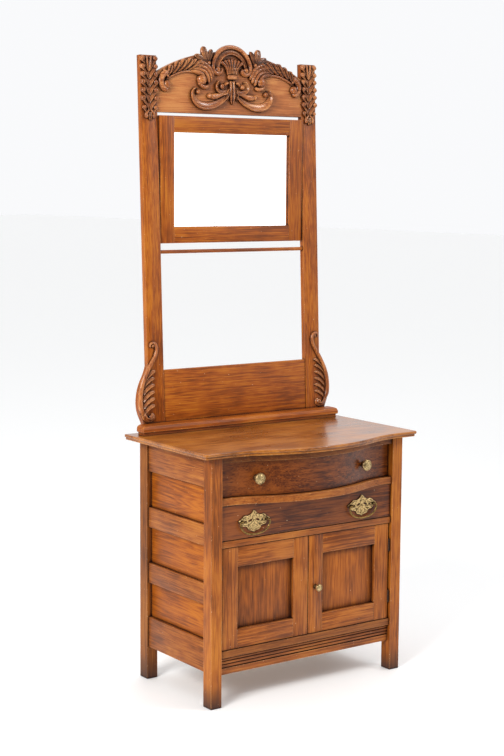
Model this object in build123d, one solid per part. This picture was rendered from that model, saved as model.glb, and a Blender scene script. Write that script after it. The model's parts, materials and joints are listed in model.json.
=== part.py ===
from build123d import *
import math
import os

# All lengths are in millimetres and all angles in degrees. X runs to the right as seen from the front,
# Y to the back and Z up. The case's middle is Y = 0 while the pieces are made. At the end everything is
# moved so that the origin is on the floor, under the middle of the whole washstand.

# Case and legs
case_width = 704.0
case_depth = 384.0
leg_width = 37.0
leg_depth = 40.0
leg_height = 730.0
leg_arris = 1.2
foot_chamfer = 1.5
tenon_length = 12.0
tenon_shoulder = 5.0
tenon_thickness = 10.0
groove_depth = 6.0

# Sides
side_set_in = 5.0
side_rail_thickness = 20.0
side_panel_recess = 11.0
side_panel_thickness = 8.0
side_bottom = 101.0
side_bottom_rail_top = 193.5
side_lower_rail_bottom = 300.0
side_lower_rail_top = 360.0
side_upper_rail_bottom = 470.5
side_upper_rail_top = 530.0
side_top_rail_bottom = 640.0

# Case front
rail_set_in = 6.0
rail_back_from_front = 62.0
serpentine_rise = 66.0
serpentine_crown_reach = 186.0
top_rail_bottom = 709.5
drawer_rail_top = 606.5
drawer_rail_bottom = 586.5
door_rail_top = 483.0
door_rail_bottom = 464.0
sill_top = 163.0
sill_bottom = 142.0
bottom_rail_bottom = 91.5
bottom_rail_set_back = 8.0
bottom_rail_thickness = 20.0
reed_count = 3
reed_diameter = 8.4
reed_pitch = 9.6
reed_top_gap = 1.6

# Back, floor and runners
back_thickness = 8.0
back_set_in = 6.0
back_board_count = 3
floor_thickness = 8.0
dust_panel_thickness = 6.0
runner_width = 40.0
runner_thickness = 17.0
guide_height = 26.0
stop_height = 16.0
stop_width = 60.0
stop_thickness = 12.0
stop_gap = 0.3

# Top
top_thickness = 16.0
top_lower_step = 7.0
top_step_back = 4.0
top_side_overhang = 38.0
top_front_overhang = 32.0
top_back_overhang = 24.0
top_corner_radius = 9.0
top_edge_round = 3.2
top_rear_joint = 48.0
top_front_joint = -42.0
top_joint_gap = 0.6

# Drawers
drawer_side_gap = 2.5
drawer_height_gap = 2.0
drawer_ride = 0.3
upper_drawer_set_back = 17.0
lower_drawer_set_back = 3.0
drawer_front_thickness = 20.0
drawer_side_thickness = 12.0
drawer_side_drop = 12.0
drawer_back_drop = 22.0
drawer_bottom_thickness = 6.0
drawer_bottom_lift = 8.0
drawer_back_gap = 8.0

# Knobs: the shares are of the knob's radius, the last one of how far it stands out
knob_x = 197.0
knob_diameter = 32.0
knob_projection = 27.0
door_knob_diameter = 21.0
door_knob_projection = 25.0
knob_screw_share = 0.22
knob_neck_share = 0.40
knob_foot_share = 0.62
knob_foot_thickness = 3.0
knob_dome_share = 0.40
knob_cup_at = 0.45
knob_seat_gap = 0.12
knob_screw_short = 2.0

# Pulls
pull_x = 200.0
pull_drop = 3.0
plate_width = 110.0
plate_height = 64.0
plate_thickness = 2.0
bail_boring = 80.0
bail_axis_out = 9.0
bail_axis_lift = 2.0
bail_wire = 4.2
bail_width = 104.0
bail_drop = 38.0
bail_end = 1.0
bail_running_gap = 0.08
pull_post_diameter = 8.0
pull_shank_diameter = 4.0

# The back plate's right-hand edge from top to bottom, in shares of half its width and half its height
plate_outline = [
    (0, 1),
    (0.17, 0.72),
    (0.42, 0.50),
    (0.66, 0.52),
    (0.80, 0.34),
    (1, 0.10),
    (0.84, -0.12),
    (0.74, -0.36),
    (0.46, -0.44),
    (0.36, -0.74),
    (0.16, -0.84),
    (0, -1),
]
# The plate's piercings: shares of half its width and height, then the two radii and the turn
plate_piercings = [(0.24, 0.10, 7.2, 3.2, -24), (0.52, 0.02, 3.2, 3.0, 0), (0.30, -0.36, 5.5, 2.3, 30)]
# The bail's right-hand bends, in shares of half its width and of its drop
bail_bends = [(1, 0), (0.94, 0.30), (0.55, 0.90)]

# Doors and hinges
door_set_back = 3.0
door_thickness = 20.0
door_hinge_gap = 7.0
door_height_gap = 2.0
door_middle_gap = 2.6
door_stile_width = 53.0
door_top_rail = 58.0
door_bottom_rail = 55.0
door_panel_recess = 12.0
door_panel_thickness = 5.0
door_knob_from_edge = 26.0
door_knob_height = 305.0
hinge_inset = 68.0
hinge_length = 38.0
hinge_knuckle = 6.0
hinge_pin = 2.4
hinge_leaf = 1.2
hinge_leaf_width = 16.0
hinge_running_gap = 0.05
hinge_end_gap = 0.3

# Harp: the frame of posts that stands on the top and leans back
harp_lean = 2.6
harp_width = 649.0
harp_front_at_foot = 182.3
post_width = 56.0
post_thickness = 18.0
post_length = 1121.0
crest_bottom = 956.0
crest_shoulder = 1073.0
crest_crown = 1145.0
splash_top = 188.0
splash_thickness = 14.0
splash_set_in = 2.0
splash_tongue = 6.0
towel_bar_gap = 20.0
towel_bar_diameter = 11.0
towel_bar_socket = 10.0
wing_reach = 35.0
wing_top = 203.0
base_length = 736.0
base_depth = 38.0
base_height = 31.0
base_plinth_height = 9.0
base_plinth_set_in = 5.0
base_bevel = 2.0
base_round = 11.0
harp_screw_diameter = 4.0
harp_screw_head = 8.0
harp_screw_length = 40.0
harp_screw_height = 18.0
harp_screw_inset = 14.0
screw_gap = 0.1
# The wing's outer edge from top to foot, in shares of its reach and its height
wing_outline = [
    (0, 1),
    (0.36, 0.84),
    (0.68, 0.73),
    (0.91, 0.60),
    (1, 0.47),
    (0.93, 0.34),
    (0.66, 0.21),
    (0.42, 0.10),
    (0.36, 0),
]

# Carving
carving_depth = 11.0
leaf_depth = 8.0
arch_drop = 57.0
arch_outer = 78.0
arch_inner = 49.0
arch_volute = 18.0
arch_volute_out = 54.0
palmette_side_flutes = 3
palmette_bottom_spread = 12.0
palmette_top_spread = 37.0
palmette_bottom = -70.0
palmette_top = -20.0
palmette_corner_drop = 7.0
flute_width = 11.0
collar_width = 36.0
collar_height = 18.0
drop_length = 196.0
drop_leaf_pairs = 8
drop_top_gap = 4.0
drop_side_gap = 1.5
drop_taper = 0.03
drop_stem = 9.0
drop_leaf = 12.0
scroll_foot_gap = 1.0
scroll_ridges = 5
scroll_ridge_root = 21.0
scroll_ridge_tip = -21.0
scroll_ridge_first = 156.0
scroll_ridge_pitch = 21.0
scroll_ridge_rise = 23.0
scroll_ridge_width = 11.0
narrow_end = 0.55

# Carved strands as stations: how far out from the middle, how far above the crest's crown, and the width
pendant_strand = [(0, -84, 26), (0, -118, 32), (0, -155, 5)]
lower_strand = [
    (6, -124, 12),
    (24, -147, 14),
    (58, -166, 16),
    (98, -171, 17),
    (130, -158, 16),
    (141, -138, 12),
    (130, -127, 9),
]
lower_leaf_strand = [(44, -158, 14), (74, -143, 20), (104, -140, 20), (128, -146, 14)]
collar_strand = [(12, -80, 14), (36, -88, 14), (45, -106, 13), (34, -121, 11), (23, -114, 8)]
garland_strand = [(72, -60, 16), (112, -43, 30), (152, -44, 38), (192, -56, 34), (228, -76, 30), (248, -104, 22)]
hook_strand = [(249, -94, 24), (253, -116, 20), (240, -128, 16), (228, -117, 9)]
volute_strand = [(90, -60, 14), (124, -66, 16), (134, -90, 16), (112, -108, 15), (93, -97, 13), (104, -84, 12)]
tall_finial_strand = [(88, -46, 10), (97, -14, 20), (104, 12, 8)]
inner_finial_strand = [(84, -44, 10), (76, -20, 16), (70, 2, 7)]
outer_finial_strand = [(94, -46, 12), (114, -24, 20), (126, -12, 8)]
# The leaf scroll's stem: how far outside the post, how far above the harp's foot, and the width
scroll_strand = [
    (-9, 257, 6),
    (-9, 266, 8),
    (-18, 271, 8),
    (-28, 264, 9),
    (-29, 246, 10),
    (-18, 224, 12),
    (-4, 202, 13),
    (9, 176, 14),
    (20, 147, 15),
    (26, 117, 15),
    (27, 88, 15),
    (21, 60, 14),
    (8, 42, 13),
    (-6, 39, 11),
    (-15, 47, 8),
]

# Mirror
mirror_height = 379.0
mirror_side_gap = 4.0
mirror_top_gap = 9.5
mirror_pivot_above_middle = 7.0
mirror_thickness = 22.0
mirror_member = 49.0
mirror_rebate = 8.0
mirror_lip = 9.0
mirror_tongue = 7.0
mirror_tongue_length = 24.0
mirror_tongue_shoulder = 4.0
glass_thickness = 4.0
glass_gap = 0.2
glass_bead = 4.0
glass_bead_width = 6.0
backboard_thickness = 5.0
pivot_pin = 6.0
pivot_running_gap = 0.05
pivot_in_post = 12.0
pivot_in_bush = 12.0
pivot_end_gap = 2.0
bush_diameter = 11.0
bush_length = 14.0
bush_flange_diameter = 18.0
bush_flange = 1.2
pivot_collar_diameter = 13.0
pivot_collar_gap = 0.3

# How far a cutting shape runs past what it cuts
past = 1.0

# Places that follow from the sizes above
half_width = case_width / 2
front_y = -case_depth / 2
back_y = case_depth / 2
opening_x = half_width - leg_width
rail_front_y = front_y + rail_set_in
rail_back_y = front_y + rail_back_from_front
side_face_x = half_width - side_set_in
side_inner_x = side_face_x - side_rail_thickness
inner_leg_y = case_depth / 2 - leg_depth
back_face_y = back_y - back_set_in
back_front_y = back_face_y - back_thickness
top_surface = leg_height + top_thickness
post_x = harp_width / 2
post_inner_x = post_x - post_width
mirror_width = 2 * (post_inner_x - mirror_side_gap)
mirror_bottom_up = crest_bottom - mirror_top_gap - mirror_height
mirror_pivot_up = mirror_bottom_up + mirror_height / 2 + mirror_pivot_above_middle
towel_bar_height = mirror_bottom_up - towel_bar_gap - towel_bar_diameter / 2
lean = math.radians(harp_lean)
harp_back_at_top = harp_front_at_foot + post_length * math.sin(lean) + post_thickness * math.cos(lean)
top_front_y = rail_front_y - serpentine_rise - top_front_overhang
middle_y = (top_front_y + harp_back_at_top) / 2


def block(x, y, z):
    """A square-edged board between two bounds along each axis."""
    sides = (x[1] - x[0], y[1] - y[0], z[1] - z[0])
    return Pos(x[0], y[0], z[0]) * Box(*sides, align=(Align.MIN, Align.MIN, Align.MIN))


def with_tenons(x, y, z, along):
    """A rail with a tongue at both ends, which runs along X or Y."""
    s = tenon_shoulder
    t = tenon_length
    if along == "x":
        tongue = block((x[0] - t, x[1] + t), (y[0] + s, y[0] + s + tenon_thickness), (z[0] + s, z[1] - s))
    else:
        tongue = block((x[0] + s, x[0] + s + tenon_thickness), (y[0] - t, y[1] + t), (z[0] + s, z[1] - s))
    return block(x, y, z) + tongue


def round_bar(start, end, diameter):
    """A round bar on the X axis between two places."""
    return Pos((start + end) / 2, 0, 0) * Rot(0, 90, 0) * Cylinder(diameter / 2, end - start)


def mirrored(shape):
    """The same piece on the other side of the middle plane."""
    return mirror(shape, about=Plane.YZ)


def along_x(points, x):
    """A bar along X whose section is an outline of (y, z) points."""
    outline = [Vector(x[0], y, z) for y, z in points]
    return extrude(make_face(Polyline(*outline, close=True)), amount=x[1] - x[0], dir=(1, 0, 0))


# The serpentine: a convex arc in the middle that runs into a concave arc at each end
half_turn = math.atan(serpentine_rise / opening_x)
arc_turn = 2 * half_turn
crown_radius = serpentine_crown_reach / math.sin(arc_turn)
end_radius = (opening_x - serpentine_crown_reach) / math.sin(arc_turn)
crown_centre = Vector(0, rail_front_y - serpentine_rise + crown_radius)
end_centre = Vector(opening_x, rail_front_y - end_radius)
toward_crown = (crown_centre - end_centre).normalized()


def serpentine_points(proud):
    """End, middle of the concave arc, and where it meets the convex arc, on the right-hand half."""
    radius = end_radius - proud
    end = end_centre + Vector(0, radius)
    half = end_centre + (toward_crown + Vector(0, 1)).normalized() * radius
    meet = end_centre + toward_crown * radius
    return end, half, meet


def serpentine_edges(proud):
    """The serpentine from left to right, moved forward by proud."""
    end, half, meet = serpentine_points(proud)
    crown = Vector(0, rail_front_y - serpentine_rise - proud)
    other = [Vector(-p.X, p.Y) for p in (end, half, meet)]
    return [
        ThreePointArc(other[0], other[1], other[2]),
        ThreePointArc(other[2], crown, meet),
        ThreePointArc(meet, half, end),
    ]


def serpentine_y(x, proud):
    """How far forward the concave arc is at x, on a line moved forward by proud."""
    radius = end_radius - proud
    return end_centre.Y + math.sqrt(radius**2 - (end_centre.X - x) ** 2)


def serpentine_slab(proud, back, z):
    """A flat slab with the serpentine as its front edge and a straight back edge."""
    y = rail_front_y - proud
    ends = Polyline((opening_x, y), (opening_x, back), (-opening_x, back), (-opening_x, y))
    face = make_face(serpentine_edges(proud) + [ends])
    return Pos(0, 0, z[0]) * extrude(face, amount=z[1] - z[0])


def make_side():
    """The left side's rails and panels, between the two left legs."""
    x = (-side_face_x, -side_inner_x)
    y = (-inner_leg_y, inner_leg_y)
    heights = [
        (side_top_rail_bottom, leg_height),
        (side_upper_rail_bottom, side_upper_rail_top),
        (side_lower_rail_bottom, side_lower_rail_top),
        (side_bottom, side_bottom_rail_top),
    ]
    panel_x = (-side_face_x + side_panel_recess, -side_face_x + side_panel_recess + side_panel_thickness)
    panel_y = (y[0] - groove_depth, y[1] + groove_depth)
    panels = []
    for upper, lower in zip(heights, heights[1:]):
        panels.append(block(panel_x, panel_y, (lower[1] - groove_depth, upper[0] + groove_depth)))
    rails = []
    for height in heights:
        rail = with_tenons(x, y, height, "y")
        for panel in panels:
            rail -= panel
        rails.append(rail)
    return rails, panels


def make_front_rails():
    """What crosses the front of the case, from the top rail down to the reeded bottom rail."""
    wide = (-opening_x, opening_x)
    behind = (rail_front_y + tenon_shoulder, rail_front_y + tenon_shoulder + tenon_thickness)
    reach = (-opening_x - tenon_length, opening_x + tenon_length)
    rails = {}
    for name, z in (("top_rail", (top_rail_bottom, leg_height)), ("drawer_rail", (drawer_rail_bottom, drawer_rail_top))):
        tongue = block(reach, behind, (z[0] + tenon_shoulder, z[1] - tenon_shoulder))
        rails[name] = serpentine_slab(0, rail_back_y, z) + tongue
    for name, z in (("door_rail", (door_rail_bottom, door_rail_top)), ("door_sill", (sill_bottom, sill_top))):
        rails[name] = with_tenons(wide, (rail_front_y, rail_back_y), z, "x")
    y = rail_front_y + bottom_rail_set_back
    rail = with_tenons(wide, (y, y + bottom_rail_thickness), (bottom_rail_bottom, sill_bottom), "x")
    bed = block(wide, (y, y + reed_diameter / 2), (reed_bottom() - reed_top_gap, sill_bottom - reed_top_gap))
    rail -= bed
    for number in range(reed_count):
        z = sill_bottom - reed_top_gap - reed_pitch * (number + 0.5)
        rail += Pos(0, y + reed_diameter / 2, z) * round_bar(-opening_x, opening_x, reed_diameter)
    rails["reeded_bottom_rail"] = rail
    return rails


def reed_bottom():
    """The lower edge of the band of reeds."""
    return sill_bottom - reed_top_gap - reed_pitch * reed_count


def make_legs(left_rails, left_panels, front_rails, backs):
    """Four legs, mortised and grooved for what stands between them."""
    side_pieces = left_rails + left_panels
    legs = {}
    for place, y in (("front", (front_y, -inner_leg_y)), ("rear", (inner_leg_y, back_y))):
        leg = block((-half_width, -opening_x), y, (0, leg_height))
        leg = chamfer(leg.edges().group_by(Axis.Z)[0], foot_chamfer)
        leg = fillet(leg.edges().filter_by(Axis.Z), leg_arris)
        for piece in side_pieces + (list(front_rails.values()) if place == "front" else backs):
            leg -= piece
        legs[f"{place}_left_leg"] = leg
        legs[f"{place}_right_leg"] = mirrored(leg)
    return legs


def make_back():
    """Upright boards that close the back, rebated into the rear legs."""
    width = 2 * (opening_x + groove_depth)
    step = width / back_board_count
    boards = []
    for number in range(back_board_count):
        x = -width / 2 + number * step
        boards.append(block((x, x + step), (back_front_y, back_face_y), (side_bottom, leg_height)))
    return boards


def make_inner_case():
    """Cupboard floor, dust panels, drawer runners and the stop behind the doors."""
    runner_in = side_inner_x - runner_width
    floor = block((-side_inner_x, side_inner_x), (rail_back_y, back_front_y), (sill_top - floor_thickness, sill_top))
    for x in (-half_width, opening_x):
        floor -= block((x, x + leg_width), (inner_leg_y, back_y), (0, leg_height))
    runners = []
    panels = []
    for top, thickness in ((drawer_rail_top, runner_thickness), (door_rail_top, runner_thickness)):
        y = (rail_back_y, back_front_y)
        strip = block((runner_in, side_inner_x), y, (top - thickness, top))
        strip += block((opening_x, side_inner_x), y, (top - thickness, top + guide_height))
        strip -= block((opening_x, half_width), (inner_leg_y, back_y), (0, leg_height))
        runners += [strip, mirrored(strip)]
        z = top - thickness / 2 - dust_panel_thickness / 2
        panels.append(block((-runner_in, runner_in), y, (z, z + dust_panel_thickness)))
    y = rail_front_y + door_set_back + door_thickness + stop_gap
    z = (door_rail_bottom - stop_height, door_rail_bottom)
    stop = block((-stop_width / 2, stop_width / 2), (y, y + stop_thickness), z)
    return floor, runners, panels, stop


def make_top():
    """Three boards side by side, with a stepped and rounded edge and a serpentine front."""
    half = half_width + top_side_overhang
    rear = back_y + top_back_overhang

    def layer(step, z):
        proud = top_front_overhang - step
        x = half - step
        y = rail_front_y - proud
        corner = top_corner_radius
        right = [
            Line((opening_x, y), (x - corner, y)),
            RadiusArc((x - corner, y), (x, y + corner), -corner),
            Line((x, y + corner), (x, rear)),
        ]
        left = [mirror(edge, about=Plane.YZ) for edge in right]
        face = make_face(serpentine_edges(proud) + right + left + [Line((x, rear), (-x, rear))])
        return Pos(0, 0, z[0]) * extrude(face, amount=z[1] - z[0])

    split = leg_height + top_lower_step
    upper = layer(0, (split, top_surface))
    rim = upper.edges().group_by(Axis.Z)[-1] + upper.edges().group_by(Axis.Z)[0]
    upper = fillet(rim.filter_by(lambda e: e.center().Y < rear - top_step_back), top_edge_round)
    lower = layer(top_step_back, (leg_height, split))
    whole = upper + lower
    reach = 2 * half
    z = (leg_height - past, top_surface + past)
    gap = top_joint_gap / 2
    bounds = {
        "front_top_board": (2 * top_front_y, top_front_joint - gap),
        "middle_top_board": (top_front_joint + gap, top_rear_joint - gap),
        "rear_top_board": (top_rear_joint + gap, 2 * rear),
    }
    return {name: whole & block((-reach, reach), y, z) for name, y in bounds.items()}


def knob(diameter, projection, shank):
    """A turned knob on its own axis: the seat at Z = 0, the domed face at +Z and the screw behind."""
    r = diameter / 2
    screw = r * knob_screw_share
    foot = r * knob_foot_share
    neck = r * knob_neck_share
    dome = r * knob_dome_share
    rim = projection - dome
    sphere = (r**2 + dome**2) / (2 * dome)
    half = math.asin(r / sphere) / 2
    on_face = (sphere * math.sin(half), projection - sphere + sphere * math.cos(half))
    waist = knob_foot_thickness + (rim - knob_foot_thickness) * knob_cup_at
    points = [(0, -shank), (screw, -shank), (screw, 0), (foot, 0), (foot, knob_foot_thickness)]
    outline = [
        Polyline(*points),
        Spline(points[-1], (neck, waist), (r, rim)),
        ThreePointArc((r, rim), on_face, (0, projection)),
        Line((0, projection), points[0]),
    ]
    return revolve(Plane.XZ * make_face(outline), axis=Axis.Z)


def make_drawer(z, face_y, front):
    """Sides, back and bottom behind a front, and the front with its grooves."""
    x = opening_x - drawer_side_gap
    low = z[0] + drawer_ride
    side_top = z[1] - drawer_side_drop
    rear = back_front_y - drawer_back_gap
    start = face_y + drawer_front_thickness
    side = block((-x, -x + drawer_side_thickness), (start, rear), (low, side_top))
    bottom_z = (low + drawer_bottom_lift, low + drawer_bottom_lift + drawer_bottom_thickness)
    inner = x - drawer_side_thickness
    reach = inner + groove_depth
    back_y_range = (rear - drawer_side_thickness, rear)
    bottom = block((-reach, reach), (start - groove_depth, rear), bottom_z)
    back = block((-inner, inner), back_y_range, (bottom_z[1], z[1] - drawer_back_drop))
    side -= bottom
    return front - bottom, [side, mirrored(side), back], bottom


def make_serpentine_front():
    """The upper drawer's front: one thickness of wood between two parallel serpentines."""
    outer = -upper_drawer_set_back
    x = opening_x - drawer_side_gap
    height = (drawer_rail_top + drawer_height_gap, top_rail_bottom - drawer_height_gap)
    front = serpentine_slab(outer, back_y, height)
    front -= serpentine_slab(outer - drawer_front_thickness, back_y, (0, leg_height))
    return front & block((-x, x), (2 * top_front_y, back_y), height)


def make_upper_drawer():
    """The upper drawer's front, box and knobs."""
    z = (drawer_rail_top, top_rail_bottom)
    proud = -upper_drawer_set_back
    face_y = rail_front_y + upper_drawer_set_back
    front, walls, straight = make_drawer(z, face_y, make_serpentine_front())
    level = straight.bounding_box()
    ahead = block((level.min.X, level.max.X), (2 * top_front_y, level.max.Y), (level.min.Z, level.max.Z))
    bottom = ahead & serpentine_slab(proud - drawer_front_thickness + groove_depth, back_y, (0, leg_height))
    front -= bottom
    angle = math.degrees(math.asin((opening_x - knob_x) / (end_radius - proud)))
    seat = Pos(knob_x, serpentine_y(knob_x, proud) - knob_seat_gap, (z[0] + z[1]) / 2)
    turn = Rot(0, 0, angle) * Rot(90, 0, 0)
    right = seat * turn * knob(knob_diameter, knob_projection, drawer_front_thickness - knob_screw_short)
    knobs = [mirrored(right), right]
    for piece in knobs:
        front -= piece
    return front, walls, bottom, knobs


def pull_plate():
    """A pierced back plate in the plane Y = 0, with its face towards -Y."""
    w = plate_width / 2
    h = plate_height / 2
    right = [(x * w, z * h) for x, z in plate_outline]
    left = [(-x, z) for x, z in reversed(right[1:-1])]
    face = make_face(Spline(*right, *left, periodic=True))
    for x, z, long, short, turn in plate_piercings:
        hole = Pos(x * w, z * h) * Rot(0, 0, turn) * Ellipse(long, short)
        face -= hole
        face -= mirrored(hole)
    return Rot(90, 0, 0) * extrude(face, amount=plate_thickness)


def bail():
    """A bent wire whose ends turn inward through the posts; its pivot is the X axis."""
    pin = bail_boring / 2 - pull_post_diameter / 2 - bail_end
    half = [(pin, 0)] + [(x * bail_width / 2, z * bail_drop) for x, z in bail_bends]
    left = [(-x, 0, -z) for x, z in half]
    right = [(x, 0, -z) for x, z in reversed(half)]
    path = FilletPolyline(*left, (0, 0, -bail_drop), *right, radius=bail_wire)
    section = Plane(origin=path @ 0, z_dir=path % 0) * Circle(bail_wire / 2)
    return sweep(section, path=path)


def make_pulls(face_y, z):
    """Two pulls: plate, two posts and a bail each."""
    plates = []
    posts = []
    bails = []
    axis_y = face_y - bail_axis_out
    axis_z = z + bail_axis_lift
    foot_y = face_y - plate_thickness
    for side in (-1, 1):
        x = side * pull_x
        plate = Pos(x, face_y, z) * pull_plate()
        reach = bail_width / 2
        hole = Pos(x, axis_y, axis_z) * round_bar(-reach, reach, bail_wire + 2 * bail_running_gap)
        for end in (-1, 1):
            out = Pos(x + end * bail_boring / 2, 0, axis_z)
            stem = Pos(0, (foot_y + axis_y) / 2, 0) * Rot(90, 0, 0) * Cylinder(pull_post_diameter / 2, foot_y - axis_y)
            shank_length = drawer_front_thickness + plate_thickness
            shank = Pos(0, foot_y + shank_length / 2, 0) * Rot(90, 0, 0)
            shank = shank * Cylinder(pull_shank_diameter / 2, shank_length)
            ball = Pos(0, axis_y, 0) * Sphere(pull_post_diameter / 2)
            post = out * (stem + shank + ball) - hole
            plate -= post
            posts.append(post)
        bails.append(Pos(x, axis_y, axis_z) * bail())
        plates.append(plate)
    return plates, posts, bails


def make_door():
    """The left door: two stiles, two rails and a panel, between the sill and the door rail."""
    y = (rail_front_y + door_set_back, rail_front_y + door_set_back + door_thickness)
    x = (-opening_x + door_hinge_gap, -door_middle_gap / 2)
    z = (sill_top + door_height_gap, door_rail_bottom - door_height_gap)
    inner_x = (x[0] + door_stile_width, x[1] - door_stile_width)
    panel_y = (y[0] + door_panel_recess, y[0] + door_panel_recess + door_panel_thickness)
    inner_z = (z[0] + door_bottom_rail, z[1] - door_top_rail)
    g = groove_depth
    panel = block((inner_x[0] - g, inner_x[1] + g), panel_y, (inner_z[0] - g, inner_z[1] + g))
    rails = [with_tenons(inner_x, y, span, "x") - panel for span in ((inner_z[1], z[1]), (z[0], inner_z[0]))]
    stiles = [block((x[0], inner_x[0]), y, z), block((inner_x[1], x[1]), y, z)]
    for number, stile in enumerate(stiles):
        for piece in rails + [panel]:
            stile -= piece
        stiles[number] = stile
    return stiles, rails, panel, x, y, z


def make_hinges(door_z):
    """The left door's two butt hinges: leaves on the leg with their pins, and leaves on the door."""
    axis_x = -opening_x + door_hinge_gap / 2
    axis_y = rail_front_y + door_set_back
    r = hinge_knuckle / 2
    knuckle = (hinge_length - 2 * hinge_end_gap) / 3
    leg_leaves = []
    door_leaves = []
    for z in (door_z[0] + hinge_inset, door_z[1] - hinge_inset):
        centre = Pos(axis_x, axis_y, z)
        y = (axis_y, axis_y + hinge_leaf_width)
        span = (z - hinge_length / 2, z + hinge_length / 2)
        leg_leaf = block((-opening_x, -opening_x + hinge_leaf), y, span)
        leg_leaf -= centre * Cylinder(r + hinge_end_gap, knuckle + 2 * hinge_end_gap)
        door_edge = -opening_x + door_hinge_gap
        door_leaf = block((door_edge - hinge_leaf, door_edge), y, span)
        for side in (-1, 1):
            offset = side * (knuckle + hinge_end_gap)
            door_leaf -= Pos(0, 0, offset + side * hinge_end_gap) * centre * Cylinder(r + hinge_end_gap, knuckle + 2 * hinge_end_gap)
            leg_leaf += Pos(0, 0, offset) * centre * Cylinder(r, knuckle)
        leg_leaf += centre * Cylinder(hinge_pin / 2, hinge_length)
        door_leaf += centre * Cylinder(r, knuckle)
        door_leaf -= centre * Cylinder(hinge_pin / 2 + hinge_running_gap, hinge_length)
        leg_leaves.append(leg_leaf)
        door_leaves.append(door_leaf)
    return leg_leaves, door_leaves


# The harp is drawn standing straight, with its front face on Y = 0 and its foot at Z = 0, then leaned back
HARP = Pos(0, harp_front_at_foot, top_surface) * Rot(-harp_lean, 0, 0)


def on_harp(shape):
    """A harp piece in its place, cut level where it stands on the top."""
    ground = block((-case_width, case_width), (-case_depth, case_depth), (0, top_surface))
    return HARP * shape - ground



def crest_outline():
    """The crest board's face: straight below, an arc above."""
    x = post_inner_x
    return make_face(
        [
            Polyline((-x, crest_shoulder), (-x, crest_bottom), (x, crest_bottom), (x, crest_shoulder)),
            ThreePointArc((x, crest_shoulder), (0, crest_crown), (-x, crest_shoulder)),
        ]
    )


def standing(face, front, depth):
    """A face drawn in XY stood up on the harp, with its front at -front and its depth going back."""
    return Pos(0, -front, 0) * Rot(90, 0, 0) * extrude(face, amount=-depth)


def make_wing():
    """The wing at the foot of the left post, with a curved outer edge."""
    outer = [(-post_x - out * wing_reach, up * wing_top) for out, up in wing_outline]
    face = make_face([Spline(*outer), Polyline(outer[-1], (-post_x, 0), outer[0])])
    return standing(face, 0, post_thickness)


def make_harp():
    """Posts, crest board, splash panel, towel bar and wing, and the screws that hold the base moulding."""
    inner = (-post_inner_x, post_inner_x)
    tongue_x = (inner[0] - tenon_length, inner[1] + tenon_length)
    left_post = block((-post_x, -post_inner_x), (0, post_thickness), (-base_height, post_length))
    crest = standing(crest_outline(), 0, post_thickness)
    tongue_y = (tenon_shoulder, post_thickness - tenon_shoulder)
    crest += block(tongue_x, tongue_y, (crest_bottom + tenon_shoulder, crest_shoulder - tenon_shoulder))
    splash_y = (splash_set_in, splash_set_in + splash_thickness)
    splash_middle = sum(splash_y) / 2
    tongue_y = (splash_middle - splash_tongue / 2, splash_middle + splash_tongue / 2)
    splash = block(inner, splash_y, (-base_height, splash_top))
    splash += block(tongue_x, tongue_y, (base_height, splash_top - tenon_shoulder))
    reach = post_inner_x + towel_bar_socket
    bar = Pos(0, post_thickness / 2, towel_bar_height) * round_bar(-reach, reach, towel_bar_diameter)
    left_post = left_post - crest - splash - bar
    screws = []
    holes = []
    for inset in (harp_screw_inset, post_width - harp_screw_inset):
        screws.append(harp_screw(inset, 0))
        holes.append(harp_screw(inset, screw_gap))
        left_post -= holes[-1]
    screws += [mirrored(screw) for screw in screws]
    return left_post, crest, splash, bar, make_wing(), screws, holes


def harp_screw(inset, gap):
    """A countersunk screw from the back of the left post, larger by the gap all round."""
    length = harp_screw_length + 2 * gap
    r = harp_screw_diameter / 2 + gap
    head_height = (harp_screw_head - harp_screw_diameter) / 2
    shank = Pos(0, post_thickness + gap - length / 2, 0) * Rot(90, 0, 0) * Cylinder(r, length)
    head = Pos(0, post_thickness - head_height / 2, 0) * Rot(-90, 0, 0)
    head = head * Cone(r, harp_screw_head / 2 + gap, head_height)
    return Pos(-post_x + inset, 0, harp_screw_height) * (shank + head)


def make_base(holes):
    """The moulding along the harp's foot: a set-in plinth, a nose and a rounded top, returned at both ends."""
    back = (harp_front_at_foot, top_surface)
    tip = (harp_front_at_foot + base_height * math.tan(lean), top_surface + base_height)
    front = harp_front_at_foot - base_depth

    def section(face_y, rear):
        z = top_surface
        turn = base_round * math.sqrt(0.5)
        return [
            (face_y + base_plinth_set_in, z),
            (face_y + base_plinth_set_in, z + base_plinth_height),
            (face_y, z + base_plinth_height + base_bevel),
            (face_y, z + base_height - base_round),
            (face_y + base_round - turn, z + base_height - base_round + turn),
            (face_y + base_round, z + base_height),
            rear[1],
            rear[0],
        ]

    half = base_length / 2
    bar = along_x(section(front, (back, tip)), (-half, half))
    end = section(-half, ((half, top_surface), (half, top_surface + base_height)))
    outline = [Vector(x, front - past, z) for x, z in end]
    profile = extrude(make_face(Polyline(*outline, close=True)), amount=2 * base_depth, dir=(0, 1, 0))
    bar = bar & profile & mirrored(profile)
    for hole in holes:
        bar -= HARP * hole
        bar -= mirrored(HARP * hole)
    return bar


def strand(stations):
    """A face that follows stations of (x, z, full width)."""
    centre = [Vector(x, z) for x, z, width in stations]
    left = []
    right = []
    for number, (x, z, width) in enumerate(stations):
        ahead = centre[min(number + 1, len(centre) - 1)]
        behind = centre[max(number - 1, 0)]
        along = (ahead - behind).normalized()
        across = Vector(-along.Y, along.X) * (width / 2)
        left.append(centre[number] + across)
        right.append(centre[number] - across)
    return make_face([Spline(*left), Spline(*right), Line(left[0], right[0]), Line(left[-1], right[-1])])


def fused(faces, depth):
    """Several flat shapes stood against the harp's front face as one carved solid."""
    body = standing(faces[0], depth, depth)
    for face in faces[1:]:
        body += standing(face, depth, depth)
    return body


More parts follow.
